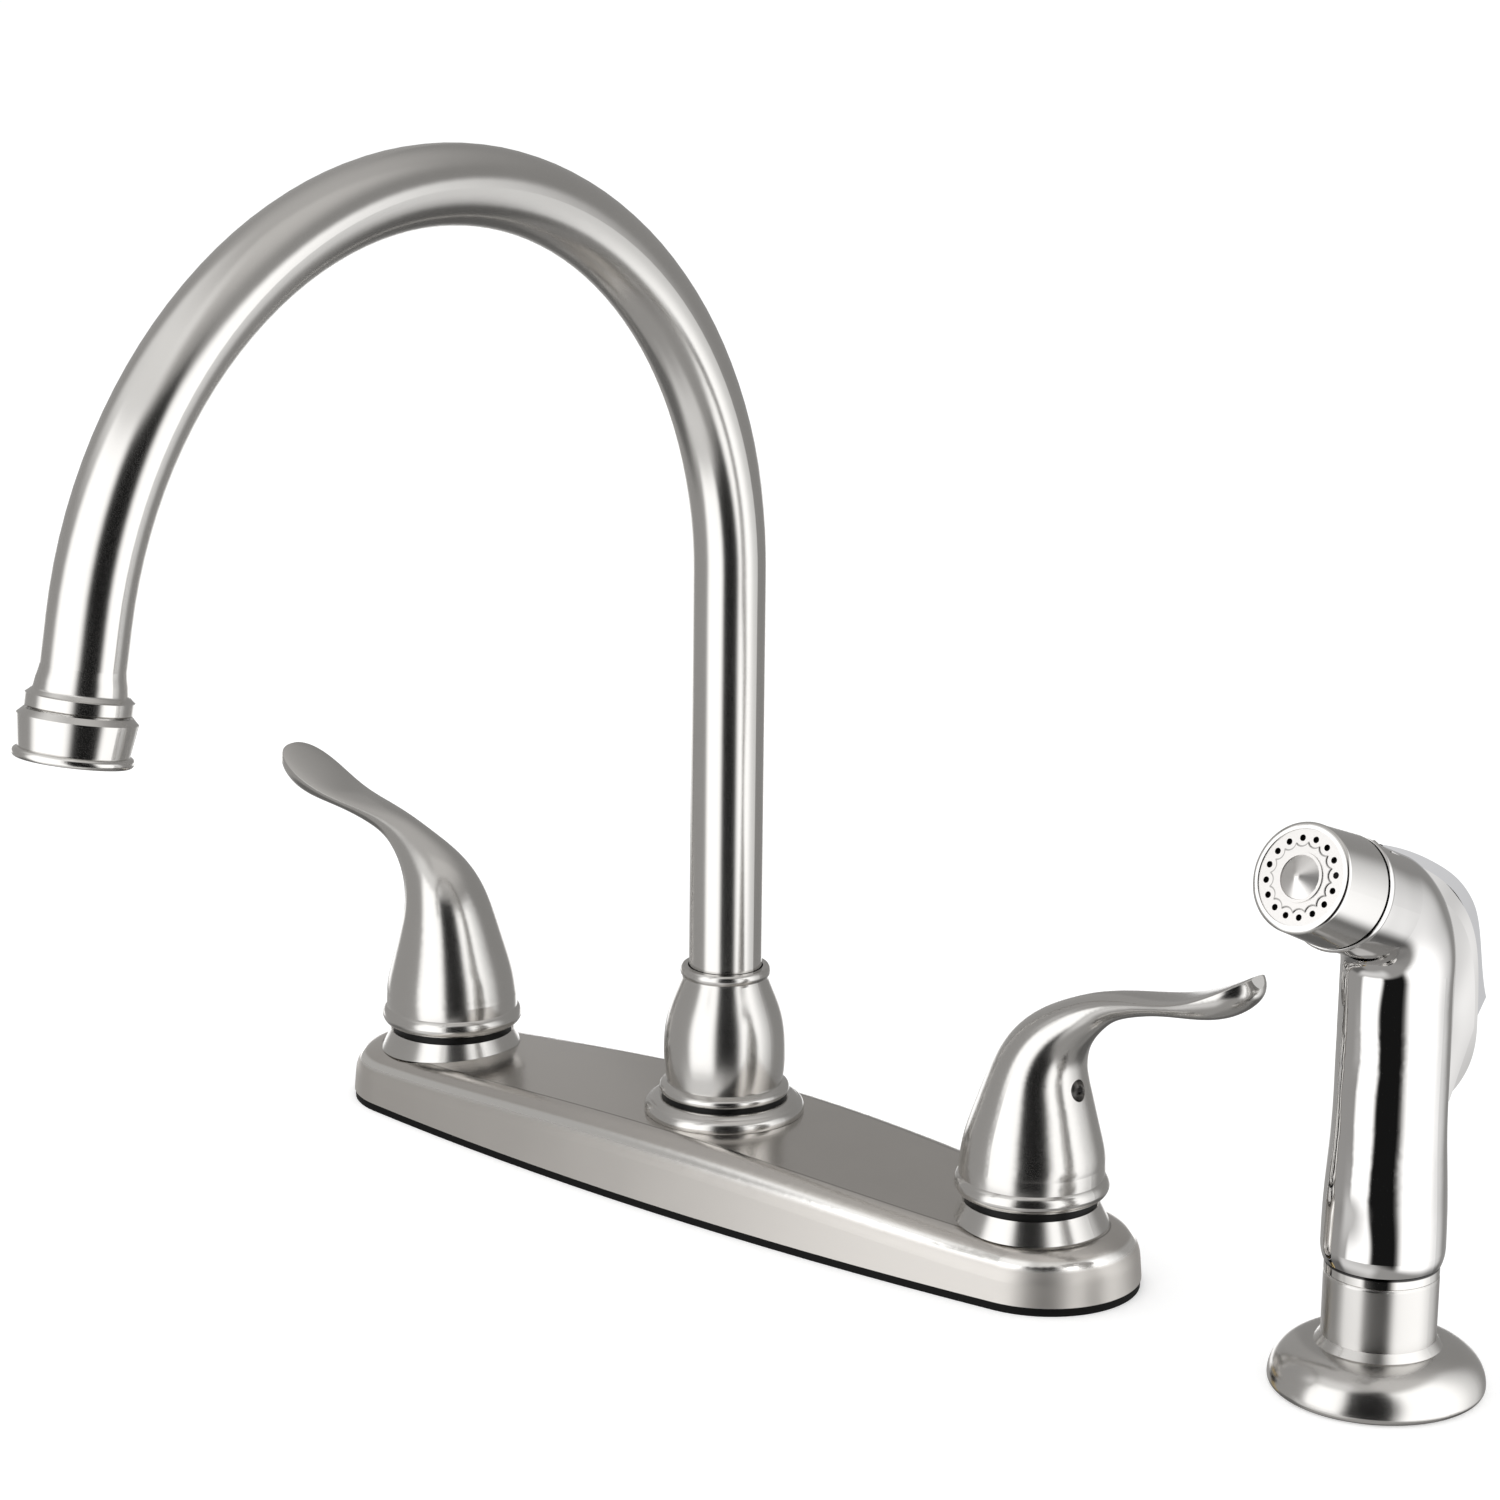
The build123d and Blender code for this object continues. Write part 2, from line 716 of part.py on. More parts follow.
def spout_tube():
    """Drawn tube: straight riser, one high arc, and a flared end."""
    profile = Circle(tube_radius) - Circle(tube_radius - tube_wall)
    riser = Pos(0, 0, sleeve_foot) * extrude(profile, riser_top - sleeve_foot)
    arc = revolve(Pos(0, 0, riser_top) * profile, Axis(arc_centre, (1, 0, 0)), arc_sweep)
    end = at_outlet(0, extrude(profile, outlet_straight))
    inner = tube_radius - tube_wall
    flare = turned(
        Line((inner, 0), (tube_radius, 0)),
        Spline(
            (tube_radius, 0),
            (tube_radius + 0.6, flare_length * 0.55),
            (flare_radius, flare_length),
            tangents=((0, 1), (0.6, 0.8)),
        ),
        Line((flare_radius, flare_length), (flare_radius - 1.2, flare_length)),
        Line((flare_radius - 1.2, flare_length), (inner, flare_length * 0.5)),
        Line((inner, flare_length * 0.5), (inner, 0)),
    )
    return riser + arc + end + at_outlet(outlet_straight, flare)


outlet_start = outlet_straight + flare_length


def outlet_ring():
    """Turned ring brazed to the flare, with the male thread for the aerator."""
    inner = tube_radius - tube_wall
    edge = outlet_ring_radius - 0.4
    crest = aerator_waist_radius - 1.9
    thread_end = outlet_ring_height + 4.5
    body = turned_points(
        [
            (inner, 0),
            (flare_radius + 0.1, 0),
            (edge, outlet_ring_bevel - 0.3),
            (outlet_ring_radius, outlet_ring_bevel),
            (outlet_ring_radius, outlet_ring_height - 0.4),
            (edge, outlet_ring_height),
            (crest, outlet_ring_height),
            (crest, thread_end),
            (inner, thread_end),
        ]
    )
    return at_outlet(outlet_start, body)


def aerator_housing():
    """Aerator shell: chamfered shoulder, tapered waist and a bead round the mouth."""
    low = outlet_ring_height + outlet_ring_gap
    end = low + aerator_height
    edge = (outlet_ring_radius, low)
    shoulder = (aerator_shoulder_radius, low + 1.3)
    waist = (aerator_waist_radius, low + 8.6)
    mouth_rim = (aerator_bead_radius - 0.7, end)
    outside = turned(
        Line((0, low), edge),
        Line(edge, shoulder),
        Line(shoulder, waist),
        ThreePointArc(waist, (aerator_bead_radius, low + 10.2), mouth_rim),
        Line(mouth_rim, (0, end)),
        Line((0, end), (0, low)),
    )
    thread = rod(aerator_waist_radius - 1.9 + thread_gap, low - 1, low + 7.0)
    seat = rod(aerator_mouth_radius, low, end - 2.0)
    mouth = rod(aerator_mouth_radius - 0.8, low, end + 1)
    return at_outlet(outlet_start, outside - thread - seat - mouth)


def aerator_insert():
    """Plastic flow former with a ring of slots, seated in the housing."""
    low = outlet_ring_height + 7.0
    end = outlet_ring_height + outlet_ring_gap + aerator_height - 2.0
    disc = rod(aerator_mouth_radius - 0.03, low, end)
    hub = rod(2.2, low, end)
    web = ring(aerator_mouth_radius - 2.2, 3.4, low - 1, end + 1)
    spoke = Box(2 * aerator_mouth_radius, 1.1, end - low, align=on_end)
    body = disc - web
    for index in range(4):
        bar = Rot(0, 0, 45 * index) * Pos(0, 0, low) * spoke
        body += bar & rod(aerator_mouth_radius - 1, low, end)
    return at_outlet(outlet_start, body + hub)


def aerator_washer():
    """Rubber washer between the outlet thread and the flow former."""
    low = outlet_ring_height + 4.5
    top = outlet_ring_height + 7.0
    return at_outlet(outlet_start, ring(aerator_mouth_radius - 0.1, 6.5, low, top))


def swivel_sleeve():
    """Brass sleeve brazed on the tube's foot: O-ring grooves and a trapped flange."""
    outer = swivel_bore_radius - running_gap
    floor = outer - o_ring_section
    body = ring(outer, tube_radius + 0.01, sleeve_foot, sleeve_shoulder)
    body += ring(sleeve_flange_radius, tube_radius + 0.01, sleeve_shoulder, sleeve_top)
    for level in o_ring_levels:
        middle = sleeve_foot + level
        body -= ring(outer + 1, floor, middle - 0.6, middle + 0.6)
    return body


def swivel_o_rings():
    """Two O-rings in the sleeve's grooves."""
    section = o_ring_section / 2
    middle = swivel_bore_radius - running_gap - section
    return [Pos(0, 0, sleeve_foot + level) * Torus(middle, section) for level in o_ring_levels]


# ---------------------------------------------------------------------------
# Diverter in the hub
# ---------------------------------------------------------------------------

diverter_floor = gasket_thickness + hub_foot_height
diverter_seat_bottom = swivel_floor - diverter_seat_height


def diverter_seat():
    """Plastic seat pressed into the hub's chamber, with the piston's bore."""
    top = swivel_floor - 0.5
    body = rod(hub_chamber_radius - 0.02, diverter_seat_bottom, top)
    body -= rod(diverter_piston_radius + running_gap, diverter_seat_bottom - 1, top + 1)
    for index in range(4):
        window = Box(20, 2.4, 3.0, align=(Align.MIN, Align.CENTER, Align.MIN))
        body -= Rot(0, 0, 45 + 90 * index) * Pos(0, 0, diverter_seat_bottom + 2) * window
    return body


def diverter_piston():
    """Piston that drops to open the hose outlet when the spray is drawn."""
    low = diverter_seat_bottom - 2.0
    shaft = rod(diverter_piston_radius, low, swivel_floor - 1.0)
    head = rod(diverter_piston_radius + 1.6, low - 1.4, low)
    return shaft + head


def diverter_spring():
    """Small spring that returns the piston."""
    top = diverter_seat_bottom - 2.0 - 1.4
    return helix_spring(3.4, spring_wire, diverter_floor, top, 3)


# ---------------------------------------------------------------------------
# Side spray holder
# ---------------------------------------------------------------------------


def on_spray(shape):
    """Move a piece of the hand-piece or holder to the fourth sink hole."""
    return Pos(spray_offset, 0, 0) * Rot(0, 0, spray_turn) * shape


def spray_flange():
    """Domed base flange with a tucked foot and a bright chamfer round the holder."""
    inner = spray_shank_radius + 0.1
    rim = spray_holder_radius + 0.05
    belly = (spray_flange_radius, spray_flange_belly)
    foot = (spray_flange_radius - spray_flange_tuck, 0)
    tuck = (spray_flange_radius - 0.27 * spray_flange_tuck, 0.28 * spray_flange_belly)
    dome = EllipticalCenterArc(
        (spray_chamfer_radius, spray_flange_belly),
        spray_flange_radius - spray_chamfer_radius,
        spray_flange_height - spray_flange_belly,
        start_angle=0,
        arc_size=90,
    )
    return turned(
        Line((inner, 0), foot),
        ThreePointArc(foot, tuck, belly),
        dome,
        Line((spray_chamfer_radius, spray_flange_height), (rim, spray_holder_foot)),
        Line((rim, spray_holder_foot), (inner, spray_holder_foot)),
        Line((inner, spray_holder_foot), (inner, 0)),
    )


def spray_holder():
    """Holder with a rounded shoulder, a groove and a band at its rim, threaded below."""
    groove = spray_holder_foot + spray_holder_height
    shoulder = groove - spray_holder_round
    round_side = (spray_holder_radius, shoulder)
    round_top = (spray_holder_radius - 0.3, groove)
    band_low = (spray_holder_radius - 0.05, groove + spray_band_groove)
    floor_low = (spray_holder_radius - 0.6, groove)
    floor_high = (spray_holder_radius - 0.6, groove + spray_band_groove)
    inner = spray_holder_bore
    shank_end = -spray_shank_length
    chamfer_in = (spray_shank_radius - shank_chamfer, shank_end)
    chamfer_out = (spray_shank_radius, shank_end + shank_chamfer)
    step_in = (spray_shank_radius, spray_holder_foot)
    step_out = (spray_holder_radius, spray_holder_foot)
    band_high = (spray_holder_radius - 0.05, holder_top)
    bore_top = (inner, holder_top)
    bore_end = (inner, shank_end)
    round_mid = (spray_holder_radius - 0.08, groove - 0.32)
    return turned(
        Polyline(bore_top, bore_end, chamfer_in, chamfer_out, step_in, step_out, round_side),
        ThreePointArc(round_side, round_mid, round_top),
        Polyline(round_top, floor_low, floor_high, band_low, band_high, bore_top),
    )


def spray_liner():
    """Plastic sleeve in the holder that guides the hand-piece's plug."""
    outer = spray_holder_bore - 0.02
    return ring(outer, outer - spray_liner_wall, -6.0, holder_top - 1.0)


def spray_lock_nut():
    """Plastic nut under the sink deck."""
    top = -sink_deck_thickness - lock_washer_thickness
    nut = rod(lock_nut_radius + 2, top - lock_nut_height, top)
    flute = rod(3, top - lock_nut_height - 1, top - 2)
    for index in range(6):
        nut -= Rot(0, 0, 60 * index) * Pos(lock_nut_radius + 3.4, 0, 0) * flute
    return nut - rod(spray_shank_radius + thread_gap, top - lock_nut_height - 1, top + 1)


def spray_washer():
    """Wide washer under the sink deck."""
    top = -sink_deck_thickness
    inner = spray_shank_radius + seat_gap
    return ring(lock_washer_radius + 1, inner, top - lock_washer_thickness, top)


# ---------------------------------------------------------------------------
# Side spray hand-piece
# ---------------------------------------------------------------------------

elevation = math.radians(nozzle_elevation)
nozzle_direction = (0, -math.cos(elevation), math.sin(elevation))
turn_angle = 90 - nozzle_elevation
bend_setback = elbow_radius * math.tan(math.radians(turn_angle / 2))
bend_start = nozzle_corner - bend_setback
nozzle_plane = Plane(origin=(0, 0, nozzle_corner), x_dir=(1, 0, 0), z_dir=nozzle_direction)

# Back of the housing, as distance behind the axis and height, from the neck to the grip
housing_back = [
    (-14.8, 134.2),
    (-6.3, 129.9),
    (0.3, 126.6),
    (6.5, 123.0),
    (12.8, 117.9),
    (18.4, 111.7),
    (21.8, 105.0),
    (23.6, 96.0),
    (24.2, 86.4),
    (23.9, 80.0),
    (22.0, 75.5),
    (18.0, 71.8),
    (13.4, 69.6),
]
housing_foot = (10.0, 67.2)
swell_back = [
    (-8.0, 122.0),
    (0.5, 120.5),
    (9.4, 114.6),
    (15.4, 106.0),
    (18.2, 96.0),
    (18.8, 85.5),
]
swell_foot = (10.2, 70.0)
trigger_back = [
    (-16.0, 135.6),
    (-4.2, 131.6),
    (7.4, 126.2),
    (14.7, 121.8),
    (20.1, 117.1),
    (23.6, 112.5),
    (26.0, 106.0),
    (27.6, 98.5),
    (30.2, 89.6),
]
trigger_tail = (24.6, 83.0)
trigger_front = [
    (24.0, 98.0),
    (22.6, 105.0),
    (20.4, 111.2),
    (17.0, 115.8),
    (12.0, 120.2),
    (5.4, 124.1),
    (-4.4, 128.6),
    (-13.0, 131.8),
]
slot_floor = [
    (18.6, 77.5),
    (19.2, 86.0),
    (19.2, 96.0),
    (17.6, 104.0),
    (13.6, 111.4),
    (7.0, 118.0),
    (-3.0, 123.6),
    (-12.0, 127.2),
    (-17.5, 130.0),
]


def along_nozzle(distance, shape):
    """Place a piece built on +Z along the nozzle's axis, a distance past the corner."""
    return nozzle_plane.offset(distance).location * shape


def side_profile(edges, half_width):
    """Extrude an outline drawn as distance behind the axis and height to both sides."""
    face = Plane.YZ * make_face(Curve() + list(edges))
    return extrude(face, half_width, both=True)


def back_swell():
    """Rounded swelling of the grip behind the elbow."""
    back = Spline(*swell_back)
    inside = (-8.0, 100.0)
    grip = (0.0, swell_foot[1] - 4)
    return side_profile(
        [
            back,
            Line(swell_back[-1], swell_foot),
            Line(swell_foot, grip),
            Line(grip, inside),
            Line(inside, swell_back[0]),
        ],
        swell_half_width,
    )


def back_housing():
    """Narrow housing whose two cheeks flank the trigger."""
    back = Spline(*housing_back)
    inside = (-12.0, 110.0)
    grip = (0.0, housing_foot[1])
    return side_profile(
        [
            back,
            Line(housing_back[-1], housing_foot),
            Line(housing_foot, grip),
            Line(grip, inside),
            Line(inside, housing_back[0]),
        ],
        housing_half_width,
    )


def trigger_slot():
    """Space between the cheeks that the trigger sinks into."""
    floor = Spline(*slot_floor)
    return side_profile(
        [
            floor,
            Line(slot_floor[-1], (-22.0, 142.0)),
            Line((-22.0, 142.0), (34.0, 142.0)),
            Line((34.0, 142.0), (34.0, slot_floor[0][1])),
            Line((34.0, slot_floor[0][1]), slot_floor[0]),
        ],
        trigger_half_width + trigger_side_gap,
    )


def trigger_face(height):
    """Distance of the trigger's underside behind the grip's axis at a height."""
    for (near, low), (far, high) in zip(trigger_front, trigger_front[1:]):
        if low <= height <= high:
            return near + (far - near) * (height - low) / (high - low)
    return trigger_front[0][0]


valve_button_back = trigger_face(valve_height + valve_button_radius) - 0.36
valve_spring_seat = valve_button_back - valve_button_height - valve_spring_length


def valve_axis(distance):
    """Plane across the trigger valve, a distance behind the grip's axis."""
    return Plane(origin=(0, distance, valve_height), x_dir=(1, 0, 0), z_dir=(0, 1, 0))


def spray_body():
    """Grip, elbow and neck with the rear housing, hollow for the plug and the valve."""
    foot_edge = (hand_edge_radius, hand_foot)
    foot_round = (hand_foot_radius - 0.19, hand_foot + hand_edge_round / 2)
    foot_side = (hand_foot_radius, hand_foot + hand_edge_round)
    grip = turned(
        Line((0, hand_foot), foot_edge),
        ThreePointArc(foot_edge, foot_round, foot_side),
        Spline(
            foot_side,
            (hand_foot_radius - 0.1, hand_foot + 12.0),
            (hand_waist_radius + 0.5, hand_foot + 23.0),
            (hand_waist_radius, hand_foot + 32.0),
            (hand_radius, bend_start - 20.0),
            (hand_radius, bend_start),
            tangents=((0, 1), (0, 1)),
        ),
        Line((hand_radius, bend_start), (0, bend_start)),
        Line((0, bend_start), (0, hand_foot)),
    )
    bend_axis = Axis((0, -elbow_radius, bend_start), (1, 0, 0))
    elbow = revolve(Pos(0, 0, bend_start) * Circle(hand_radius), bend_axis, turn_angle)
    taper = Cone(hand_radius, neck_radius, collar_start - bend_setback, align=on_end)
    neck = along_nozzle(bend_setback, taper)
    collar_back = (neck_radius, 0)
    collar_crest = (collar_radius, collar_length / 2)
    collar_front = (collar_radius - 0.4, collar_length)
    collar = turned(
        Line((0, 0), collar_back),
        ThreePointArc(collar_back, collar_crest, collar_front),
        Line(collar_front, (0, collar_length)),
        Line((0, collar_length), (0, 0)),
    )
    body = grip + elbow + neck + along_nozzle(collar_start, collar)
    body += back_swell()
    body += back_housing()
    body -= trigger_slot()
    body -= rod(plug_radius - 2.5, hand_foot - 1, hand_foot + 20)
    body -= rod(3.0, hand_foot, valve_height)
    body -= extrude(valve_axis(-valve_travel - 1.5) * Circle(valve_stem_radius + running_gap), 30)
    body -= extrude(valve_axis(valve_spring_seat) * Circle(valve_button_radius + 0.9), 10)
    pivot_plane = Plane(origin=(0, *trigger_pivot), z_dir=(1, 0, 0))
    pin_hole = pivot_plane * Circle(trigger_pin_radius + 0.02)
    body -= extrude(pin_hole, housing_half_width - 0.8, both=True)
    body -= along_nozzle(12.0, rod(4.0, 0, 20))
    return body


def nozzle_shell():
    """Tapered nozzle in front of the dark groove, rounded over at its rim."""
    start = collar_start + collar_length + nozzle_groove
    length = nozzle_face_distance - start
    back = (nozzle_back_radius, 0)
    front = (nozzle_front_radius, length - 1.0)
    turn_over = (nozzle_front_radius - 0.35, length - 0.2)
    lip = (nozzle_front_radius - 1.0, length)
    shell = turned(
        Line((0, 0), back),
        Line(back, front),
        ThreePointArc(front, turn_over, lip),
        Line(lip, (0, length)),
        Line((0, length), (0, 0)),
    )
    shell -= rod(face_radius, length - face_thickness, length + 1)
    shell -= rod(face_radius - 2.0, 2.0, length)
    shell -= rod(4.0, -1, 3)
    return along_nozzle(start, shell)


def nozzle_gasket():
    """Dark ring that shows as the groove behind the nozzle."""
    start = collar_start + collar_length
    return along_nozzle(start, ring(neck_radius - 0.6, 4.0, 0, nozzle_groove))


def spray_face():
    """Face plate with a ring of spray holes, a scalloped step and the cone's seat."""
    low = face_thickness - 0.3
    plate = rod(face_radius - 0.02, 0, low)
    step = rod(face_step_radius, low, low + face_step_height)
    for index in range(face_hole_count):
        turn = Rot(0, 0, face_hole_turn + 360 / face_hole_count * index)
        plate -= turn * Pos(face_hole_circle, 0, 0) * rod(face_hole_radius, -1, 4)
        step -= turn * Pos(face_hole_circle, 0, 0) * rod(face_scallop_radius, 0, 4)
    seat = ring(cone_ring_radius, cone_radius, 0, face_thickness + 0.3)
    face = plate + step + seat - rod(1.6, -1, 4) - rod(cone_radius, low, 4)
    return along_nozzle(nozzle_face_distance - face_thickness, face)


def spray_cone():
    """Polished cone at the middle of the face, held by its screw shank."""
    bottom = face_thickness - 0.3
    radius = cone_radius - 0.02
    rim = bottom + 0.4
    cone = turned_points([(0, bottom), (radius, bottom), (radius, rim), (0, bottom + cone_height)])
    shank = rod(1.55, -6, bottom)
    return along_nozzle(nozzle_face_distance - face_thickness, cone + shank)


def hose_plug():
    """Plug that drops into the holder, with the swivel nut for the hose."""
    seat = hand_foot - plug_length
    stub = rod(plug_radius - 2.52, hand_foot, hand_foot + 18)
    flange = rod(plug_radius, hand_foot - 3, hand_foot)
    barrel = rod(plug_radius - 1.5, seat, hand_foot)
    nut = Pos(0, 0, seat) * extrude(RegularPolygon(plug_radius - 0.8, 6), 7)
    bore = rod(3.0, seat - 1, hand_foot + 19)
    return stub + flange + barrel + nut - bore


def trigger():
    """Thumb lever that follows the elbow to a lifted tail."""
    back = Spline(*trigger_back)
    front = Spline(*trigger_front)
    plate = side_profile(
        [
            back,
            Line(trigger_back[-1], trigger_tail),
            Line(trigger_tail, trigger_front[0]),
            front,
            Line(trigger_front[-1], trigger_back[0]),
        ],
        trigger_half_width,
    )
    pivot_plane = Plane(origin=(0, *trigger_pivot), z_dir=(1, 0, 0))
    plate += extrude(pivot_plane * Circle(trigger_pin_radius + 1.3), trigger_half_width, both=True)
    return plate - extrude(pivot_plane * Circle(trigger_pin_radius + running_gap), 20, both=True)


def trigger_pin():
    """Steel pin across the cheeks."""
    pivot_plane = Plane(origin=(0, *trigger_pivot), z_dir=(1, 0, 0))
    return extrude(pivot_plane * Circle(trigger_pin_radius), housing_half_width - 0.9, both=True)


def spray_valve():
    """Plunger under the trigger that opens the water way."""
    stem = extrude(valve_axis(0.5) * Circle(valve_stem_radius), valve_button_back - 0.5)
    button_foot = valve_button_back - valve_button_height
    button = extrude(valve_axis(button_foot) * Circle(valve_button_radius), valve_button_height)
    return stem + button


def trigger_spring():
    """Spring that pushes the plunger and the trigger back."""
    spring = helix_spring(valve_button_radius - 0.5, spring_wire, 0, valve_spring_length, 4)
    return valve_axis(valve_spring_seat).location * spring


# ---------------------------------------------------------------------------
# Write every piece
# ---------------------------------------------------------------------------

save("deck_plate", deck_plate())
save("deck_gasket", deck_gasket())
save("spout_hub", spout_hub())
save("spout_flange", spout_flange())
save("spout_washer", spout_washer())
save("bell_nut", bell_nut())

for side, label in ((-1, "hot"), (1, "cold")):
    save(f"{label}_valve_body", on_handle(side, valve_body()))
    save(f"{label}_crossover_tube", crossover_tube(side))
    save(f"{label}_disc_seal", on_handle(side, disc_seal()))
    save(f"{label}_fixed_disc", on_handle(side, fixed_disc()))
    save(f"{label}_rotor_disc", on_handle(side, rotor_disc()))
    save(f"{label}_cartridge", on_handle(side, cartridge_housing()))
    save(f"{label}_bonnet_nut", on_handle(side, bonnet_nut()))
    save(f"{label}_valve_stem", on_handle(side, valve_stem()))
    save(f"{label}_handle_flange", on_handle(side, handle_flange()))
    save(f"{label}_seal_ring", on_handle(side, seal_ring()))
    save(f"{label}_lever", on_handle(side, lever_handle()))
    save(f"{label}_set_screw", on_handle(side, set_screw()))

save("lock_washers", on_handle(-1, lock_washer()) + on_handle(1, lock_washer()))
save("lock_nuts", on_handle(-1, lock_nut()) + on_handle(1, lock_nut()))

save("spout_tube", spout_tube())
save("outlet_ring", outlet_ring())
save("aerator_housing", aerator_housing())
save("aerator_insert", aerator_insert())
save("aerator_washer", aerator_washer())
save("swivel_sleeve", swivel_sleeve())
save("swivel_o_rings", Part() + swivel_o_rings())

save("diverter_seat", diverter_seat())
save("diverter_piston", diverter_piston())
save("diverter_spring", diverter_spring())

save("spray_flange", on_spray(spray_flange()))
save("spray_holder", on_spray(spray_holder()))
save("spray_liner", on_spray(spray_liner()))
save("spray_lock_nut", on_spray(spray_lock_nut()))
save("spray_washer", on_spray(spray_washer()))

save("spray_body", on_spray(spray_body()))
save("nozzle_shell", on_spray(nozzle_shell()))
save("nozzle_gasket", on_spray(nozzle_gasket()))
save("spray_face", on_spray(spray_face()))
save("spray_cone", on_spray(spray_cone()))
save("hose_plug", on_spray(hose_plug()))
save("trigger", on_spray(trigger()))
save("trigger_pin", on_spray(trigger_pin()))
save("spray_valve", on_spray(spray_valve()))
save("trigger_spring", on_spray(trigger_spring()))
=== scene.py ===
"""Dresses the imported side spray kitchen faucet: finishes, fine detail, studio and camera.

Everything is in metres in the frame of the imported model.  Each sub-assembly is a class
that models its own extra pieces and gives its nodes their finish.
"""

import json
import logging
import math
from dataclasses import dataclass
from enum import Enum
from typing import Any, Optional, Sequence, Union

import bpy
from mathutils import Matrix, Vector

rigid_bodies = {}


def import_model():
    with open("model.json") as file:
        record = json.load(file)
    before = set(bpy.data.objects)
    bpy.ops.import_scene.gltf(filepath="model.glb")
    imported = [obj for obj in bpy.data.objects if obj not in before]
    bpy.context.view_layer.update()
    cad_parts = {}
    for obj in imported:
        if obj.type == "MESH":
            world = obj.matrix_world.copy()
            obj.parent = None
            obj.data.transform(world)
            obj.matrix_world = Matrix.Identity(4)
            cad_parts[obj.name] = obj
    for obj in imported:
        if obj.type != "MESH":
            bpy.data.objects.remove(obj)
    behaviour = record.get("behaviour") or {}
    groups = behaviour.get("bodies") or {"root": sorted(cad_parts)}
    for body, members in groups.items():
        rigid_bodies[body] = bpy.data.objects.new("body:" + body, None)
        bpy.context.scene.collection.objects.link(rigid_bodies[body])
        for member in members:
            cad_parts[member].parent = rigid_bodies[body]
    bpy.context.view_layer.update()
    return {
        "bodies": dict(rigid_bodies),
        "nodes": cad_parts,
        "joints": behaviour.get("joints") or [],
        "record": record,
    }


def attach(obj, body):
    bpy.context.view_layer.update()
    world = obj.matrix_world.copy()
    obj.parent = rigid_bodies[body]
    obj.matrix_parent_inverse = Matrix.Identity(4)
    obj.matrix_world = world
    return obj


log = logging.getLogger("faucet")

MM = 0.001
HANDLE_OFFSET = 101.6 * MM
SPRAY_OFFSET = 203.2 * MM
SPRAY_TURN = math.radians(-2.8)

# The nozzle's axis leaves the grip's axis at this height and rises by this angle.
NOZZLE_CORNER = 115.4 * MM
NOZZLE_LEAN = math.radians(22.3)

# The ring of spray holes in the nozzle's face: how many, its radius and its first angle.
HOLE_COUNT = 16
HOLE_CIRCLE = 8.94 * MM
HOLE_TURN = math.radians(14.5)

Colour = tuple[float, float, float]
Span = tuple[float, float]
Value = Union[float, "Wire"]
Values = dict[Union[str, int], Any]


# ---------------------------------------------------------------------------
# Shader graph
# ---------------------------------------------------------------------------


class Wire:
    """One output socket that can be used in Python expressions."""

    def __init__(self, graph: "Graph", socket: Any) -> None:
        """Keep the graph and the socket."""
        self.graph = graph
        self.socket = socket

    def _math(self, operation: str, first: Value, second: Value) -> "Wire":
        """Add a Math node.

        Args:
            operation: The node's operation.
            first: Left operand.
            second: Right operand.

        Returns:
            The node's result.
        """
        values = {0: first, 1: second}
        return self.graph.node("ShaderNodeMath", {"operation": operation}, values)

    def __add__(self, other: Value) -> "Wire":
        """Sum."""
        return self._math("ADD", self, other)

    def __radd__(self, other: Value) -> "Wire":
        """Sum with a number on the left."""
        return self._math("ADD", other, self)

    def __sub__(self, other: Value) -> "Wire":
        """Difference."""
        return self._math("SUBTRACT", self, other)

    def __rsub__(self, other: Value) -> "Wire":
        """Difference with a number on the left."""
        return self._math("SUBTRACT", other, self)

    def __mul__(self, other: Value) -> "Wire":
        """Product."""
        return self._math("MULTIPLY", self, other)

    def __rmul__(self, other: Value) -> "Wire":
        """Product with a number on the left."""
        return self._math("MULTIPLY", other, self)

    def __truediv__(self, other: Value) -> "Wire":
        """Quotient."""
        return self._math("DIVIDE", self, other)

    def power(self, exponent: float) -> "Wire":
        """Raise to a power."""
        return self._math("POWER", self, exponent)

    def magnitude(self) -> "Wire":
        """Value without its sign."""
        return (self * self).power(0.5)

    def hypotenuse(self, other: "Wire") -> "Wire":
        """Length of the slope over two sides."""
        return (self * self + other * other).power(0.5)

    def maximum(self, other: Value) -> "Wire":
        """Larger of two values."""
        return self._math("MAXIMUM", self, other)

    def minimum(self, other: Value) -> "Wire":
        """Smaller of two values."""
        return self._math("MINIMUM", self, other)

    def ramp(self, low: float, high: float) -> "Wire":
        """Smooth step from 0 at low to 1 at high.

        Args:
            low: Value where the step starts.
            high: Value where the step ends.

        Returns:
            The stepped value, between 0 and 1.
        """
        settings = {"interpolation_type": "SMOOTHSTEP"}
        values = {"Value": self, "From Min": low, "From Max": high}
        return self.graph.node("ShaderNodeMapRange", settings, values)


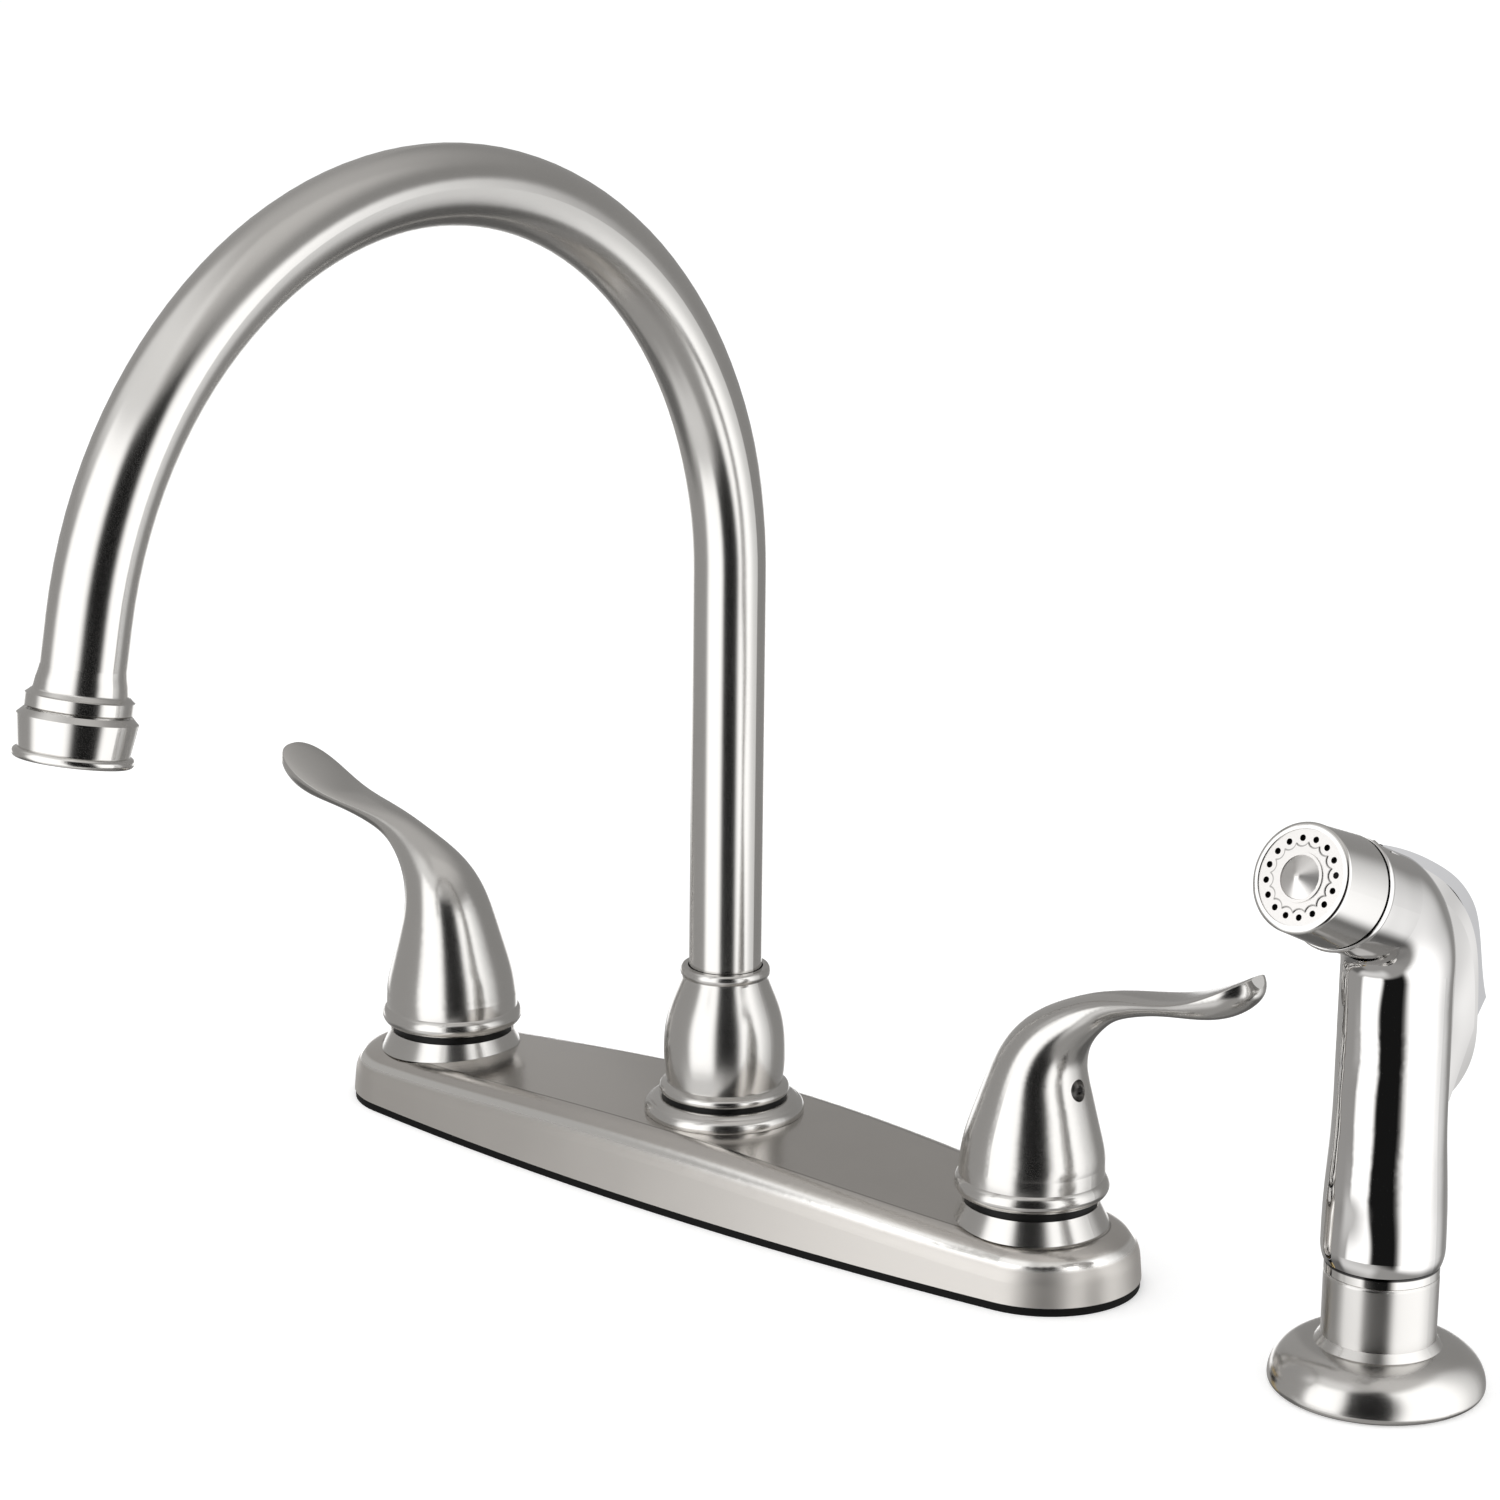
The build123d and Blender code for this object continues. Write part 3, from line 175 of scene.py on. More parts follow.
class Graph:
    """Builds one node tree."""

    def __init__(self, tree: bpy.types.NodeTree) -> None:
        """Start with an empty tree."""
        self.tree = tree
        tree.nodes.clear()

    def node(
        self,
        kind: str,
        settings: Optional[dict[str, Any]] = None,
        values: Optional[Values] = None,
        output: Union[str, int] = 0,
    ) -> Wire:
        """Add a node, set it up and link it.

        Args:
            kind: Blender's type name of the node.
            settings: Properties of the node, set before its sockets.
            values: Socket values or wires, by socket name or number.
            output: Which output is returned.

        Returns:
            The chosen output.
        """
        made = self.tree.nodes.new(kind)
        for name, value in (settings or {}).items():
            setattr(made, name, value)
        for name, value in (values or {}).items():
            socket = made.inputs[name]
            if isinstance(value, Wire):
                self.tree.links.new(value.socket, socket)
            else:
                socket.default_value = value
        return Wire(self, made.outputs[output] if made.outputs else None)

    def place(self) -> Wire:
        """Object coordinates."""
        return self.node("ShaderNodeTexCoord", output="Object")

    def split(self, vector: Wire) -> tuple[Wire, Wire, Wire]:
        """The three values of a vector.

        Args:
            vector: The vector.

        Returns:
            Its X, Y and Z.
        """
        first = self.node("ShaderNodeSeparateXYZ", None, {0: vector})
        outputs = first.socket.node.outputs
        return first, Wire(self, outputs[1]), Wire(self, outputs[2])

    def mapped(self, shift: Sequence[float], turn: float = 0.0) -> Wire:
        """Object coordinates moved and then turned about Z.

        Args:
            shift: The move.
            turn: Turn about Z in radians.

        Returns:
            The mapped coordinates.
        """
        settings = {"vector_type": "POINT"}
        moved = self.node(
            "ShaderNodeMapping", settings, {"Vector": self.place(), "Location": shift}
        )
        values = {"Vector": moved, "Rotation": (0.0, 0.0, turn)}
        return self.node("ShaderNodeMapping", settings, values)

    def noise(self, vector: Wire, scale: float, detail: float = 2.0, rough: float = 0.5) -> Wire:
        """Fractal noise between 0 and 1.

        Args:
            vector: Where it is read.
            scale: Cells per unit.
            detail: Octaves.
            rough: How strong the fine octaves are.

        Returns:
            The noise value.
        """
        values = {"Vector": vector, "Scale": scale, "Detail": detail, "Roughness": rough}
        return self.node("ShaderNodeTexNoise", None, values)

    def blend(self, factor: Value, first: Any, second: Any) -> Wire:
        """Mix two colours.

        Args:
            factor: Share of the second colour.
            first: First colour or wire.
            second: Second colour or wire.

        Returns:
            The mixed colour.
        """

        def full(colour: Any) -> Any:
            """Give a plain colour its fourth value."""
            return colour if isinstance(colour, Wire) else (*colour, 1.0)

        values = {0: factor, 6: full(first), 7: full(second)}
        return self.node("ShaderNodeMix", {"data_type": "RGBA"}, values, 2)

    def bump(self, height: Wire, distance: float, under: Optional[Wire] = None) -> Wire:
        """Normal from a height.

        Args:
            height: Height between 0 and 1.
            distance: Real height of 1, in metres.
            under: Normal that the bump is laid over.

        Returns:
            The bumped normal.
        """
        values: Values = {"Height": height, "Distance": distance, "Strength": 1.0}
        if under is not None:
            values["Normal"] = under
        return self.node("ShaderNodeBump", None, values)

    def finish(self, shader: Wire) -> None:
        """Send a shader to the output."""
        self.node("ShaderNodeOutputMaterial", None, {"Surface": shader})


class Marks(Enum):
    """Direction of the fine lines that polishing left."""

    TURNED = "round the axis"
    LENGTHWISE = "along the deck"
    NONE = "none"


# Share of a full turn by which brushed grain is turned on the surface.
GRAIN_ROTATION = 0.25


@dataclass(frozen=True)
class Metal:
    """A bare or plated metal."""

    name: str
    colour: Colour
    roughness: float
    spread: float = 0.05
    marks: Marks = Marks.NONE
    line_depth: float = 0.6e-6
    line_scale: float = 2080.0
    line_stretch: float = 0.02
    cloud_scale: float = 60.0
    contrast: float = 0.03
    axis: tuple[float, float] = (0.0, 0.0)
    wave: float = 0.0
    wave_scale: float = 28.0
    anisotropy: float = 0.0

    def material(self) -> bpy.types.Material:
        """Build the material.

        Returns:
            The new material.
        """
        made = bpy.data.materials.new(self.name)
        made.use_nodes = True
        graph = Graph(made.node_tree)
        place = graph.mapped(shift=(-self.axis[0], -self.axis[1], 0.0))
        cloud = graph.noise(place, self.cloud_scale, 3.0)
        dark, light = self._shade(1 - self.contrast), self._shade(1 + self.contrast)
        rough = self.roughness + (cloud - 0.5) * self.spread
        values: Values = {
            "Base Color": self.tinted(graph, graph.blend(cloud, dark, light)),
            "Metallic": 1.0,
            "Anisotropic": self.anisotropy,
            "Anisotropic Rotation": GRAIN_ROTATION,
        }
        lines = self._lines(graph, place)
        if lines is not None:
            rough = rough + (lines - 0.5) * self.spread
            values["Normal"] = graph.bump(lines, self.line_depth)
        if self.wave > 0:
            waves = graph.noise(place, self.wave_scale, 1.0)
            values["Normal"] = graph.bump(waves, self.wave)
        values["Roughness"] = rough
        self.adjust(graph, values)
        graph.finish(graph.node("ShaderNodeBsdfPrincipled", None, values))
        return made

    def tinted(self, graph: Graph, colour: Wire) -> Wire:
        """The colour with the finish's painted shade and highlight lines; plain here."""
        return colour

    def adjust(self, graph: Graph, values: Values) -> None:
        """Change the shader's values where a finish varies over its piece; nothing here."""

    def _shade(self, factor: float) -> Colour:
        """The colour, lighter or darker."""
        return (self.colour[0] * factor, self.colour[1] * factor, self.colour[2] * factor)

    def _lines(self, graph: Graph, place: Wire) -> Optional[Wire]:
        """Fine lines in the direction of the marks.

        Args:
            graph: The material's graph.
            place: Coordinates centred on the piece's axis.

        Returns:
            The line pattern between 0 and 1, or None.
        """
        if self.marks is Marks.NONE:
            return None
        if self.marks is Marks.LENGTHWISE:
            stretch = {"Vector": place, "Scale": (self.line_stretch, 1.0, 1.0)}
            grain = graph.node("ShaderNodeMapping", None, stretch)
        else:
            across, deep, height = graph.split(place)
            turned = {"X": across.hypotenuse(deep), "Z": height}
            grain = graph.node("ShaderNodeCombineXYZ", None, turned)
        return graph.noise(grain, self.line_scale, 2.0, 0.6)


@dataclass(frozen=True)
class PlateMetal(Metal):
    """The deck plate's metal, with the pressed crease inside its rim and coarser walls; painted
    shade lies in the crease's bottom and a painted highlight along the shoulder.
    """

    half_depth: float = 31.1 * MM
    end_centre: float = 105.9 * MM
    end_radius: float = 24.7 * MM
    end_blend: float = 4.0 * MM
    crease_inset: float = 8.2 * MM
    crease_fall: float = 0.35 * MM
    crease_width: float = 0.45 * MM
    crease_shade_share: float = 0.6
    # Colour of the painted shade in the crease's bottom.
    crease_shade_colour: Colour = (0.14, 0.13, 0.12)
    wall_inset: float = 1.3 * MM
    wall_soft: float = 1.0 * MM
    wall_roughness: float = 0.22
    edge_width: float = 1.1 * MM
    edge_core: float = 0.3
    edge_polish: float = 0.08
    shoulder_highlight_share: float = 0.8
    # Colour of the painted highlight along the shoulder.
    shoulder_highlight_colour: Colour = (0.96, 0.95, 0.93)

    def inset(self, graph: Graph) -> Wire:
        """How far a point lies inside the plate's outline of two bows and two round ends.

        Args:
            graph: The material's graph.

        Returns:
            The distance in metres.
        """
        rise = self.end_centre**2 + self.half_depth**2 - self.end_radius**2
        bow_radius = rise / (2 * (self.half_depth - self.end_radius))
        across, deep, _ = graph.split(graph.place())
        along = across.magnitude()
        bow_depth = deep.magnitude() + (bow_radius - self.half_depth)
        bow = bow_radius - along.hypotenuse(bow_depth)
        end = self.end_radius - (along - self.end_centre).hypotenuse(deep)
        at_end = along.ramp(self.end_centre, self.end_centre + self.end_blend)
        return bow * (1 - at_end) + end * at_end

    def edge(self, inset: Wire) -> Wire:
        """The line along the shoulder, where the roughness drops and the painted highlight lies.

        Args:
            inset: Distance inside the outline.

        Returns:
            A mask between 0 and 1.
        """
        off = (inset - (self.wall_inset + self.edge_width)).magnitude()
        return 1 - off.ramp(self.edge_width * self.edge_core, self.edge_width)

    def adjust(self, graph: Graph, values: Values) -> None:
        """Add the crease, roughen the walls and polish the shoulder.

        Args:
            graph: The material's graph.
            values: The shader's values.
        """
        inset = self.inset(graph)
        height = inset.minimum(self.crease_inset) / self.crease_inset
        values["Normal"] = graph.bump(height, self.crease_fall, values["Normal"])
        wall = 1 - inset.ramp(self.wall_inset, self.wall_inset + self.wall_soft)
        rough = values["Roughness"] + wall * self.wall_roughness
        values["Roughness"] = rough - self.edge(inset) * self.edge_polish

    def tinted(self, graph: Graph, colour: Wire) -> Wire:
        """Paint shade along the crease's bottom and a highlight along the shoulder.

        Args:
            graph: The material's graph.
            colour: The plain colour.

        Returns:
            The colour with the painted shade and the painted highlight.
        """
        inset = self.inset(graph)
        # Painted shade: the bottom of the crease is darkened.
        line = 1 - (inset - self.crease_inset).magnitude().ramp(0.0, self.crease_width)
        crease_shaded = graph.blend(line * self.crease_shade_share, colour, self.crease_shade_colour)
        # Painted highlight: the shoulder line is brightened.
        return graph.blend(self.edge(inset) * self.shoulder_highlight_share, crease_shaded, self.shoulder_highlight_colour)


@dataclass(frozen=True)
class HolderMetal(Metal):
    """The spray holder's brushed metal, with its polished band and a painted shadow line along its
    top, under the hand-piece.
    """

    band_foot: float = 28.5 * MM
    band_polish: float = 0.8
    line_foot: float = 30.75 * MM
    shade_line_share: float = 0.96
    # Colour of the painted shadow under the hand-piece.
    shade_line_colour: Colour = (0.02, 0.02, 0.02)
    soft: float = 0.15 * MM

    def above(self, graph: Graph, foot: float) -> Wire:
        """A soft mask of what lies above a height.

        Args:
            graph: The material's graph.
            foot: The height in metres.

        Returns:
            A mask between 0 and 1.
        """
        _, _, level = graph.split(graph.place())
        return level.ramp(foot - self.soft, foot + self.soft)

    def adjust(self, graph: Graph, values: Values) -> None:
        """Polish the band.

        Args:
            graph: The material's graph.
            values: The shader's values.
        """
        band = self.above(graph, self.band_foot)
        values["Roughness"] = values["Roughness"] * (1 - band * self.band_polish)

    def tinted(self, graph: Graph, colour: Wire) -> Wire:
        """Paint a shadow line along the top edge."""
        line = self.above(graph, self.line_foot)
        # Painted shadow: the top edge is darkened.
        return graph.blend(line * self.shade_line_share, colour, self.shade_line_colour)


@dataclass(frozen=True)
class FaceMetal(Metal):
    """The nozzle face's metal, with painted shade along the outline of its scalloped step."""

    scallop_radius: float = 1.9 * MM
    line_width: float = 0.28 * MM
    line_core: float = 0.4
    shade_line_share: float = 0.6
    # Colour of the painted shade along the step's outline.
    shade_line_colour: Colour = (0.12, 0.115, 0.11)
    fade_start: float = 1.0 * MM
    fade_end: float = 0.6 * MM

    def tinted(self, graph: Graph, colour: Wire) -> Wire:
        """Paint shade along the scalloped step's outline, fading out just inside the ring of
        holes.

        Args:
            graph: The material's graph.
            colour: The plain colour.

        Returns:
            The colour with the painted shade line.
        """
        level = graph.mapped(shift=(-SPRAY_OFFSET, 0.0, -NOZZLE_CORNER), turn=-SPRAY_TURN)
        tilt = (NOZZLE_LEAN - math.pi / 2, 0.0, 0.0)
        flat = graph.node("ShaderNodeMapping", None, {"Vector": level, "Rotation": tilt})
        across, upward, _ = graph.split(flat)
        radius = across.hypotenuse(upward)
        angle = graph.node("ShaderNodeMath", {"operation": "ARCTAN2"}, {0: upward, 1: across})
        share = (angle - HOLE_TURN) * (HOLE_COUNT / math.tau) + 0.5
        share = graph.node("ShaderNodeMath", {"operation": "FRACT"}, {0: share}) - 0.5
        sector = share * (math.tau / HOLE_COUNT)
        cosine = graph.node("ShaderNodeMath", {"operation": "COSINE"}, {0: sector})
        gap = radius * radius + HOLE_CIRCLE**2 - 2 * HOLE_CIRCLE * (radius * cosine)
        off = (gap.maximum(0.0).power(0.5) - self.scallop_radius).magnitude()
        line = 1 - off.ramp(self.line_width * self.line_core, self.line_width)
        inside = 1 - radius.ramp(HOLE_CIRCLE - self.fade_start, HOLE_CIRCLE - self.fade_end)
        # Painted shade along the step's outline.
        return graph.blend(line * inside * self.shade_line_share, colour, self.shade_line_colour)


@dataclass(frozen=True)
class Moulded:
    """A plastic, rubber or ceramic."""

    name: str
    colour: Colour
    roughness: float
    spread: float = 0.12
    grain_scale: float = 1800.0
    grain_depth: float = 8.0e-6
    cloud_scale: float = 90.0
    tint: float = 0.12
    coat: float = 0.0
    gloss: float = 0.5

    def material(self) -> bpy.types.Material:
        """Build the material.

        Returns:
            The new material.
        """
        made = bpy.data.materials.new(self.name)
        made.use_nodes = True
        graph = Graph(made.node_tree)
        grain = graph.noise(graph.place(), self.grain_scale, 3.0)
        cloud = graph.noise(graph.place(), self.cloud_scale, 2.0)
        dark = tuple(value * (1 - self.tint) for value in self.colour)
        light = tuple(min(1.0, value * (1 + self.tint)) for value in self.colour)
        values: Values = {
            "Base Color": graph.blend(cloud, dark, light),
            "Roughness": self.roughness + (grain - 0.5) * self.spread,
            "Coat Weight": self.coat,
            "Specular IOR Level": self.gloss,
            "Normal": graph.bump(grain, self.grain_depth),
        }
        graph.finish(graph.node("ShaderNodeBsdfPrincipled", None, values))
        return made


# ---------------------------------------------------------------------------
# Finishes
# ---------------------------------------------------------------------------

NICKEL: Colour = (0.62, 0.608, 0.59)
PLATE_NICKEL: Colour = (0.63, 0.605, 0.575)

TURNED_ROUGHNESS = 0.2
SATIN_SPREAD = 0.04


def turned_nickel(name: str, across: float) -> Metal:
    """Satin nickel with marks round a vertical axis.

    Args:
        name: The material's name.
        across: The axis's X.

    Returns:
        The finish.
    """
    return Metal(
        name, NICKEL, TURNED_ROUGHNESS, SATIN_SPREAD, Marks.TURNED, axis=(across, 0.0)
    )


SATIN_TURNED = turned_nickel("satin_nickel_turned", 0.0)
SATIN_TUBE = Metal("satin_nickel_tube", NICKEL, 0.19, SATIN_SPREAD)
SATIN_LEVER = Metal("satin_nickel_lever", NICKEL, 0.19, SATIN_SPREAD)
SATIN_PLATE = PlateMetal(
    "satin_nickel_plate",
    PLATE_NICKEL,
    0.21,
    SATIN_SPREAD,
    Marks.LENGTHWISE,
    line_depth=0.03e-6,
)
SATIN_HOLDER = HolderMetal(
    "satin_nickel_holder",
    NICKEL,
    0.31,
    SATIN_SPREAD,
    Marks.TURNED,
    axis=(SPRAY_OFFSET, 0.0),
    anisotropy=0.8,
)
POLISHED = Metal("polished_nickel", (0.655, 0.645, 0.635), 0.045, 0.02, wave=4.0e-3)
TRIGGER_METAL = Metal("polished_trigger", (0.54, 0.54, 0.55), 0.07, 0.02)
SATIN_SHELL = Metal("satin_nozzle", (0.66, 0.65, 0.635), 0.14, 0.03)
SATIN_CONE = Metal("satin_cone", (0.78, 0.765, 0.75), 0.3)
FACE = FaceMetal("satin_face", (0.72, 0.705, 0.69), 0.34, 0.06)
BRASS = Metal("machined_brass", (0.72, 0.56, 0.28), 0.28, 0.1)
COPPER = Metal("drawn_copper", (0.78, 0.44, 0.30), 0.25, 0.1)
STEEL = Metal("plain_steel", (0.56, 0.56, 0.57), 0.3, 0.1)
RUBBER = Moulded("black_rubber", (0.004, 0.004, 0.004), 0.6, gloss=0.15)
BLACK_PLASTIC = Moulded("black_plastic", (0.005, 0.005, 0.005), 0.4, gloss=0.2)
WHITE_PLASTIC = Moulded("white_plastic", (0.8, 0.8, 0.78), 0.38)
CERAMIC = Moulded("lapped_ceramic", (0.84, 0.83, 0.8), 0.2, coat=0.3)


class Workshop:
    """Keeps the frame, makes each material once and dresses nodes."""

    def __init__(self, frame: dict[str, Any]) -> None:
        """Keep the frame."""
        self.frame = frame
        self.made: dict[str, bpy.types.Material] = {}

    def material(self, finish: Union[Metal, Moulded]) -> bpy.types.Material:
        """The material of a finish, built at its first use.

        Args:
            finish: The finish.

        Returns:
            Its material.
        """
        if finish.name not in self.made:
            self.made[finish.name] = finish.material()
        return self.made[finish.name]

    def dress(self, node: str, finish: Union[Metal, Moulded]) -> None:
        """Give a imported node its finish.

        Args:
            node: The node's name.
            finish: Its finish.
        """
        thing = self.frame["nodes"][node]
        material = self.material(finish)
        for slot in thing.material_slots:
            slot.material = material
        log.info("%s: %s", node, finish.name)

    def add(
        self,
        piece: bpy.types.Object,
        body: str,
        slot: str,
        finish: Union[Metal, Moulded],
    ) -> None:
        """Finish a new piece and let it ride on its body.

        Args:
            piece: The new piece.
            body: The body that carries it.
            slot: The record's material slot; not used.
            finish: Its finish.
        """
        piece.data.materials.clear()
        piece.data.materials.append(self.material(finish))
        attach(piece, body)
        log.info("%s rides on %s", piece.name, body)


# ---------------------------------------------------------------------------
# Studio
# ---------------------------------------------------------------------------


@dataclass(frozen=True)
class Patch:
    """A field on a light sphere, in degrees of bearing and height from the camera's side."""

    left: float
    right: float
    low: float
    high: float
    edge: float


# Fields of the far room.
BACK_WALL = Patch(70.0, 180.0, -90.0, 45.0, 20.0)
TABLE_SIDE = Patch(30.0, 180.0, -90.0, -40.0, 20.0)
CEILING_LIGHT = Patch(-10.0, 110.0, 46.0, 100.0, 12.0)

# Heights and bearings, in degrees, between which the room's brightness changes.
CEILING_RISE: Span = (30.0, 75.0)
TABLE_RISE: Span = (-66.0, -44.0)
TABLE_EDGE_FOOT: Span = (-58.0, -50.0)
TABLE_EDGE_TOP: Span = (-34.0, -24.0)
TABLE_EDGE_AROUND: Span = (84.0, 112.0)
SHEET_RIGHT: Span = (148.0, 158.0)
SHEET_RIGHT_FOOT: Span = (-22.0, -18.0)
SHEET_LEFT: Span = (-150.0, -138.0)
SHEET_LEFT_FOOT: Span = (-17.0, -13.0)
SHEET_TOP: Span = (-9.0, -5.0)

# Fields of the near tent.
LEFT_WINDOW = Patch(-73.0, -19.0, -36.0, 42.0, 7.0)
RIGHT_WINDOW = Patch(33.0, 130.0, -32.0, 30.0, 6.0)
UPPER_VEIL = Patch(-96.0, -6.0, 30.0, 66.0, 12.0)
LOWER_BOUNCE = Patch(-92.0, -2.0, -62.0, -36.0, 12.0)
DARK_GAP = Patch(-16.0, 28.0, -32.0, 40.0, 5.0)

# Bearings, in degrees, between which the right window dims and then ends.
WINDOW_DIMMING: Span = (66.0, 90.0)
WINDOW_END: Span = (86.0, 108.0)

WHITE: Colour = (1.0, 1.0, 1.0)
HALF_TURN = 180.0


@dataclass(frozen=True)
class Layout:
    """Bearing and height on a light sphere, in degrees from the camera's side."""

    bearing: Wire
    rise: Wire

    @property
    def around(self) -> Wire:
        """Bearing without its sign."""
        return self.bearing.magnitude()

    def patch(self, field: Patch) -> Wire:
        """A soft-edged field, open on the right where it reaches the half turn.

        Args:
            field: The field.

        Returns:
            A mask between 0 and 1.
        """
        across = self._past(self.bearing, field.left, field.edge)
        if field.right < HALF_TURN:
            across = across * (1 - self._past(self.bearing, field.right, field.edge))
        over = self._past(self.rise, field.low, field.edge)
        upright = over * (1 - self._past(self.rise, field.high, field.edge))
        return across * upright

    @staticmethod
    def _past(value: Wire, start: float, edge: float) -> Wire:
        """Soft step from 0 before a start to 1 past it."""
        return value.ramp(start - edge, start + edge)


@dataclass
class Studio:
    """Pale floor, soft light, the tent that the metal mirrors, and the camera."""

    camera_place: tuple[float, float, float] = (0.654532, -0.756639, 0.370968)
    yaw: float = -0.7073525789
    pitch: float = 0.2471094698
    roll: float = 0.0112747066
    focal_pixels: float = 3969.516
    frame_pixels: float = 1500.0
    sensor: float = 36.0
    near_clip: float = 0.01
    far_clip: float = 60.0
    tent_radius: float = 0.5
    tent_middle: tuple[float, float, float] = (0.0, -0.05, 0.12)
    window_level: float = 1.75
    window_dimming: float = 0.45
    veil_level: float = 0.42
    bounce_level: float = 0.4
    gap_level: float = 0.012
    least_cover: float = 0.001
    room_radius: float = 4.0
    room_tone: Colour = (1.0, 0.985, 0.965)
    wall_level: float = 0.42
    ceiling_gain: float = 0.2
    ceiling_light: float = 0.15
    back_drop: float = 0.08
    table_drop: float = 0.06
    table_edge_drop: float = 0.58
    sheet_level: float = 1.2
    dome_segments: int = 96
    dome_rings: int = 64
    floor_size: float = 14.0
    floor_dark: Colour = (0.86, 0.86, 0.86)
    floor_light: Colour = (0.88, 0.88, 0.88)
    floor_cloud: float = 3.0
    floor_glow: float = 0.34
    world_level: float = 0.8
    lamp_place: tuple[float, float, float] = (-0.3, -0.5, 1.6)
    lamp_size: float = 1.6
    lamp_energy: float = 6.0

    def build(self) -> None:
        """Build everything of the studio."""
        self.world()
        self.floor()
        self.dome("room", self.room_radius, self.room())
        self.dome("tent", self.tent_radius, self.windows())
        self.lamp()
        self.camera()

    def camera(self) -> None:
        """Set the camera up for the square frame."""
        forward = Vector(
            (
                math.sin(self.yaw) * math.cos(self.pitch),
                math.cos(self.yaw) * math.cos(self.pitch),
                -math.sin(self.pitch),
            )
        )
        level = Vector((math.cos(self.yaw), -math.sin(self.yaw), 0.0))
        upright = level.cross(forward)
        right = math.cos(self.roll) * level + math.sin(self.roll) * upright
        up = math.cos(self.roll) * upright - math.sin(self.roll) * level
        lens = bpy.data.cameras.new("camera")
        lens.sensor_width = self.sensor
        lens.lens = self.focal_pixels * self.sensor / self.frame_pixels
        lens.clip_start = self.near_clip
        lens.clip_end = self.far_clip
        thing = bpy.data.objects.new("camera", lens)
        bpy.context.scene.collection.objects.link(thing)
        matrix = Matrix((right, up, -forward)).transposed().to_4x4()
        matrix.translation = Vector(self.camera_place)
        thing.matrix_world = matrix
        bpy.context.scene.camera = thing

    def world(self) -> None:
        """White for the camera and an even soft light for everything else."""
        world = bpy.data.worlds.new("studio")
        bpy.context.scene.world = world
        world.use_nodes = True
        graph = Graph(world.node_tree)
        seen = graph.node("ShaderNodeLightPath", output="Is Camera Ray")
        level = seen * (1.0 - self.world_level) + self.world_level
        values = {"Color": (*WHITE, 1.0), "Strength": level}
        light = graph.node("ShaderNodeBackground", None, values)
        graph.node("ShaderNodeOutputWorld", None, {"Surface": light})

    def floor(self) -> None:
        """A plain pale floor that keeps the soft shadow."""
        bpy.ops.object.select_all(action="DESELECT")
        bpy.ops.mesh.primitive_plane_add(size=self.floor_size, location=(0, 0, 0))
        thing = bpy.context.object
        thing.name = "floor"
        material = bpy.data.materials.new("floor_white")
        material.use_nodes = True
        graph = Graph(material.node_tree)
        cloud = graph.noise(graph.place(), self.floor_cloud)
        colour = graph.blend(cloud, self.floor_dark, self.floor_light)
        paper = graph.node("ShaderNodeBsdfDiffuse", None, {"Color": colour})
        seen = graph.node("ShaderNodeLightPath", output="Is Camera Ray")
        values = {"Color": (*WHITE, 1.0), "Strength": seen * self.floor_glow}
        glow = graph.node("ShaderNodeEmission", None, values)
        graph.finish(graph.node("ShaderNodeAddShader", None, {0: paper, 1: glow}))
        thing.data.materials.append(material)
        thing.visible_glossy = False

    def dome(self, name: str, radius: float, cloth: bpy.types.Material) -> None:
        """A glowing sphere round the object that only the metal mirrors.

        Args:
            name: Name of the sphere.
            radius: Its radius.
            cloth: Its material.
        """
        bpy.ops.object.select_all(action="DESELECT")
        bpy.ops.mesh.primitive_uv_sphere_add(
            segments=self.dome_segments, ring_count=self.dome_rings, radius=radius
        )
        thing = bpy.context.object
        thing.name = name
        bpy.ops.object.shade_smooth()
        thing.data.transform(Matrix.Translation(Vector(self.tent_middle)))
        thing.data.materials.append(cloth)
        thing.visible_camera = False
        thing.visible_diffuse = False
        thing.visible_shadow = False
        thing.visible_transmission = False

    def room(self) -> bpy.types.Material:
        """The far room: grey walls, a darker table edge and a white sheet behind.

        Returns:
            The material, whose brightness is laid out by bearing and height.
        """
        material = bpy.data.materials.new("room_cloth")
        graph, layout = self._layout(material, self.room_radius)
        bearing, rise = layout.bearing, layout.rise
        table = (1 - rise.ramp(*TABLE_RISE)) * layout.patch(TABLE_SIDE)
        level = self.wall_level + self.ceiling_gain * rise.ramp(*CEILING_RISE)
        level = level - self.back_drop * layout.patch(BACK_WALL)
        level = level - self.table_drop * table
        level = level + self.ceiling_light * layout.patch(CEILING_LIGHT)
        edge = rise.ramp(*TABLE_EDGE_FOOT) * (1 - rise.ramp(*TABLE_EDGE_TOP))
        edge = edge * layout.around.ramp(*TABLE_EDGE_AROUND)
        level = level * (1 - self.table_edge_drop * edge)
        right = bearing.ramp(*SHEET_RIGHT) * rise.ramp(*SHEET_RIGHT_FOOT)
        left = (1 - bearing.ramp(*SHEET_LEFT)) * rise.ramp(*SHEET_LEFT_FOOT)
        sheet = (right + left) * (1 - rise.ramp(*SHEET_TOP))
        level = level + self.sheet_level * sheet
        tone = graph.blend(sheet, self.room_tone, WHITE)
        shaded = {0: tone, "Scale": level}
        tone = graph.node("ShaderNodeVectorMath", {"operation": "SCALE"}, shaded)
        graph.finish(graph.node("ShaderNodeEmission", None, {"Color": tone}))
        material.cycles.emission_sampling = "NONE"
        return material

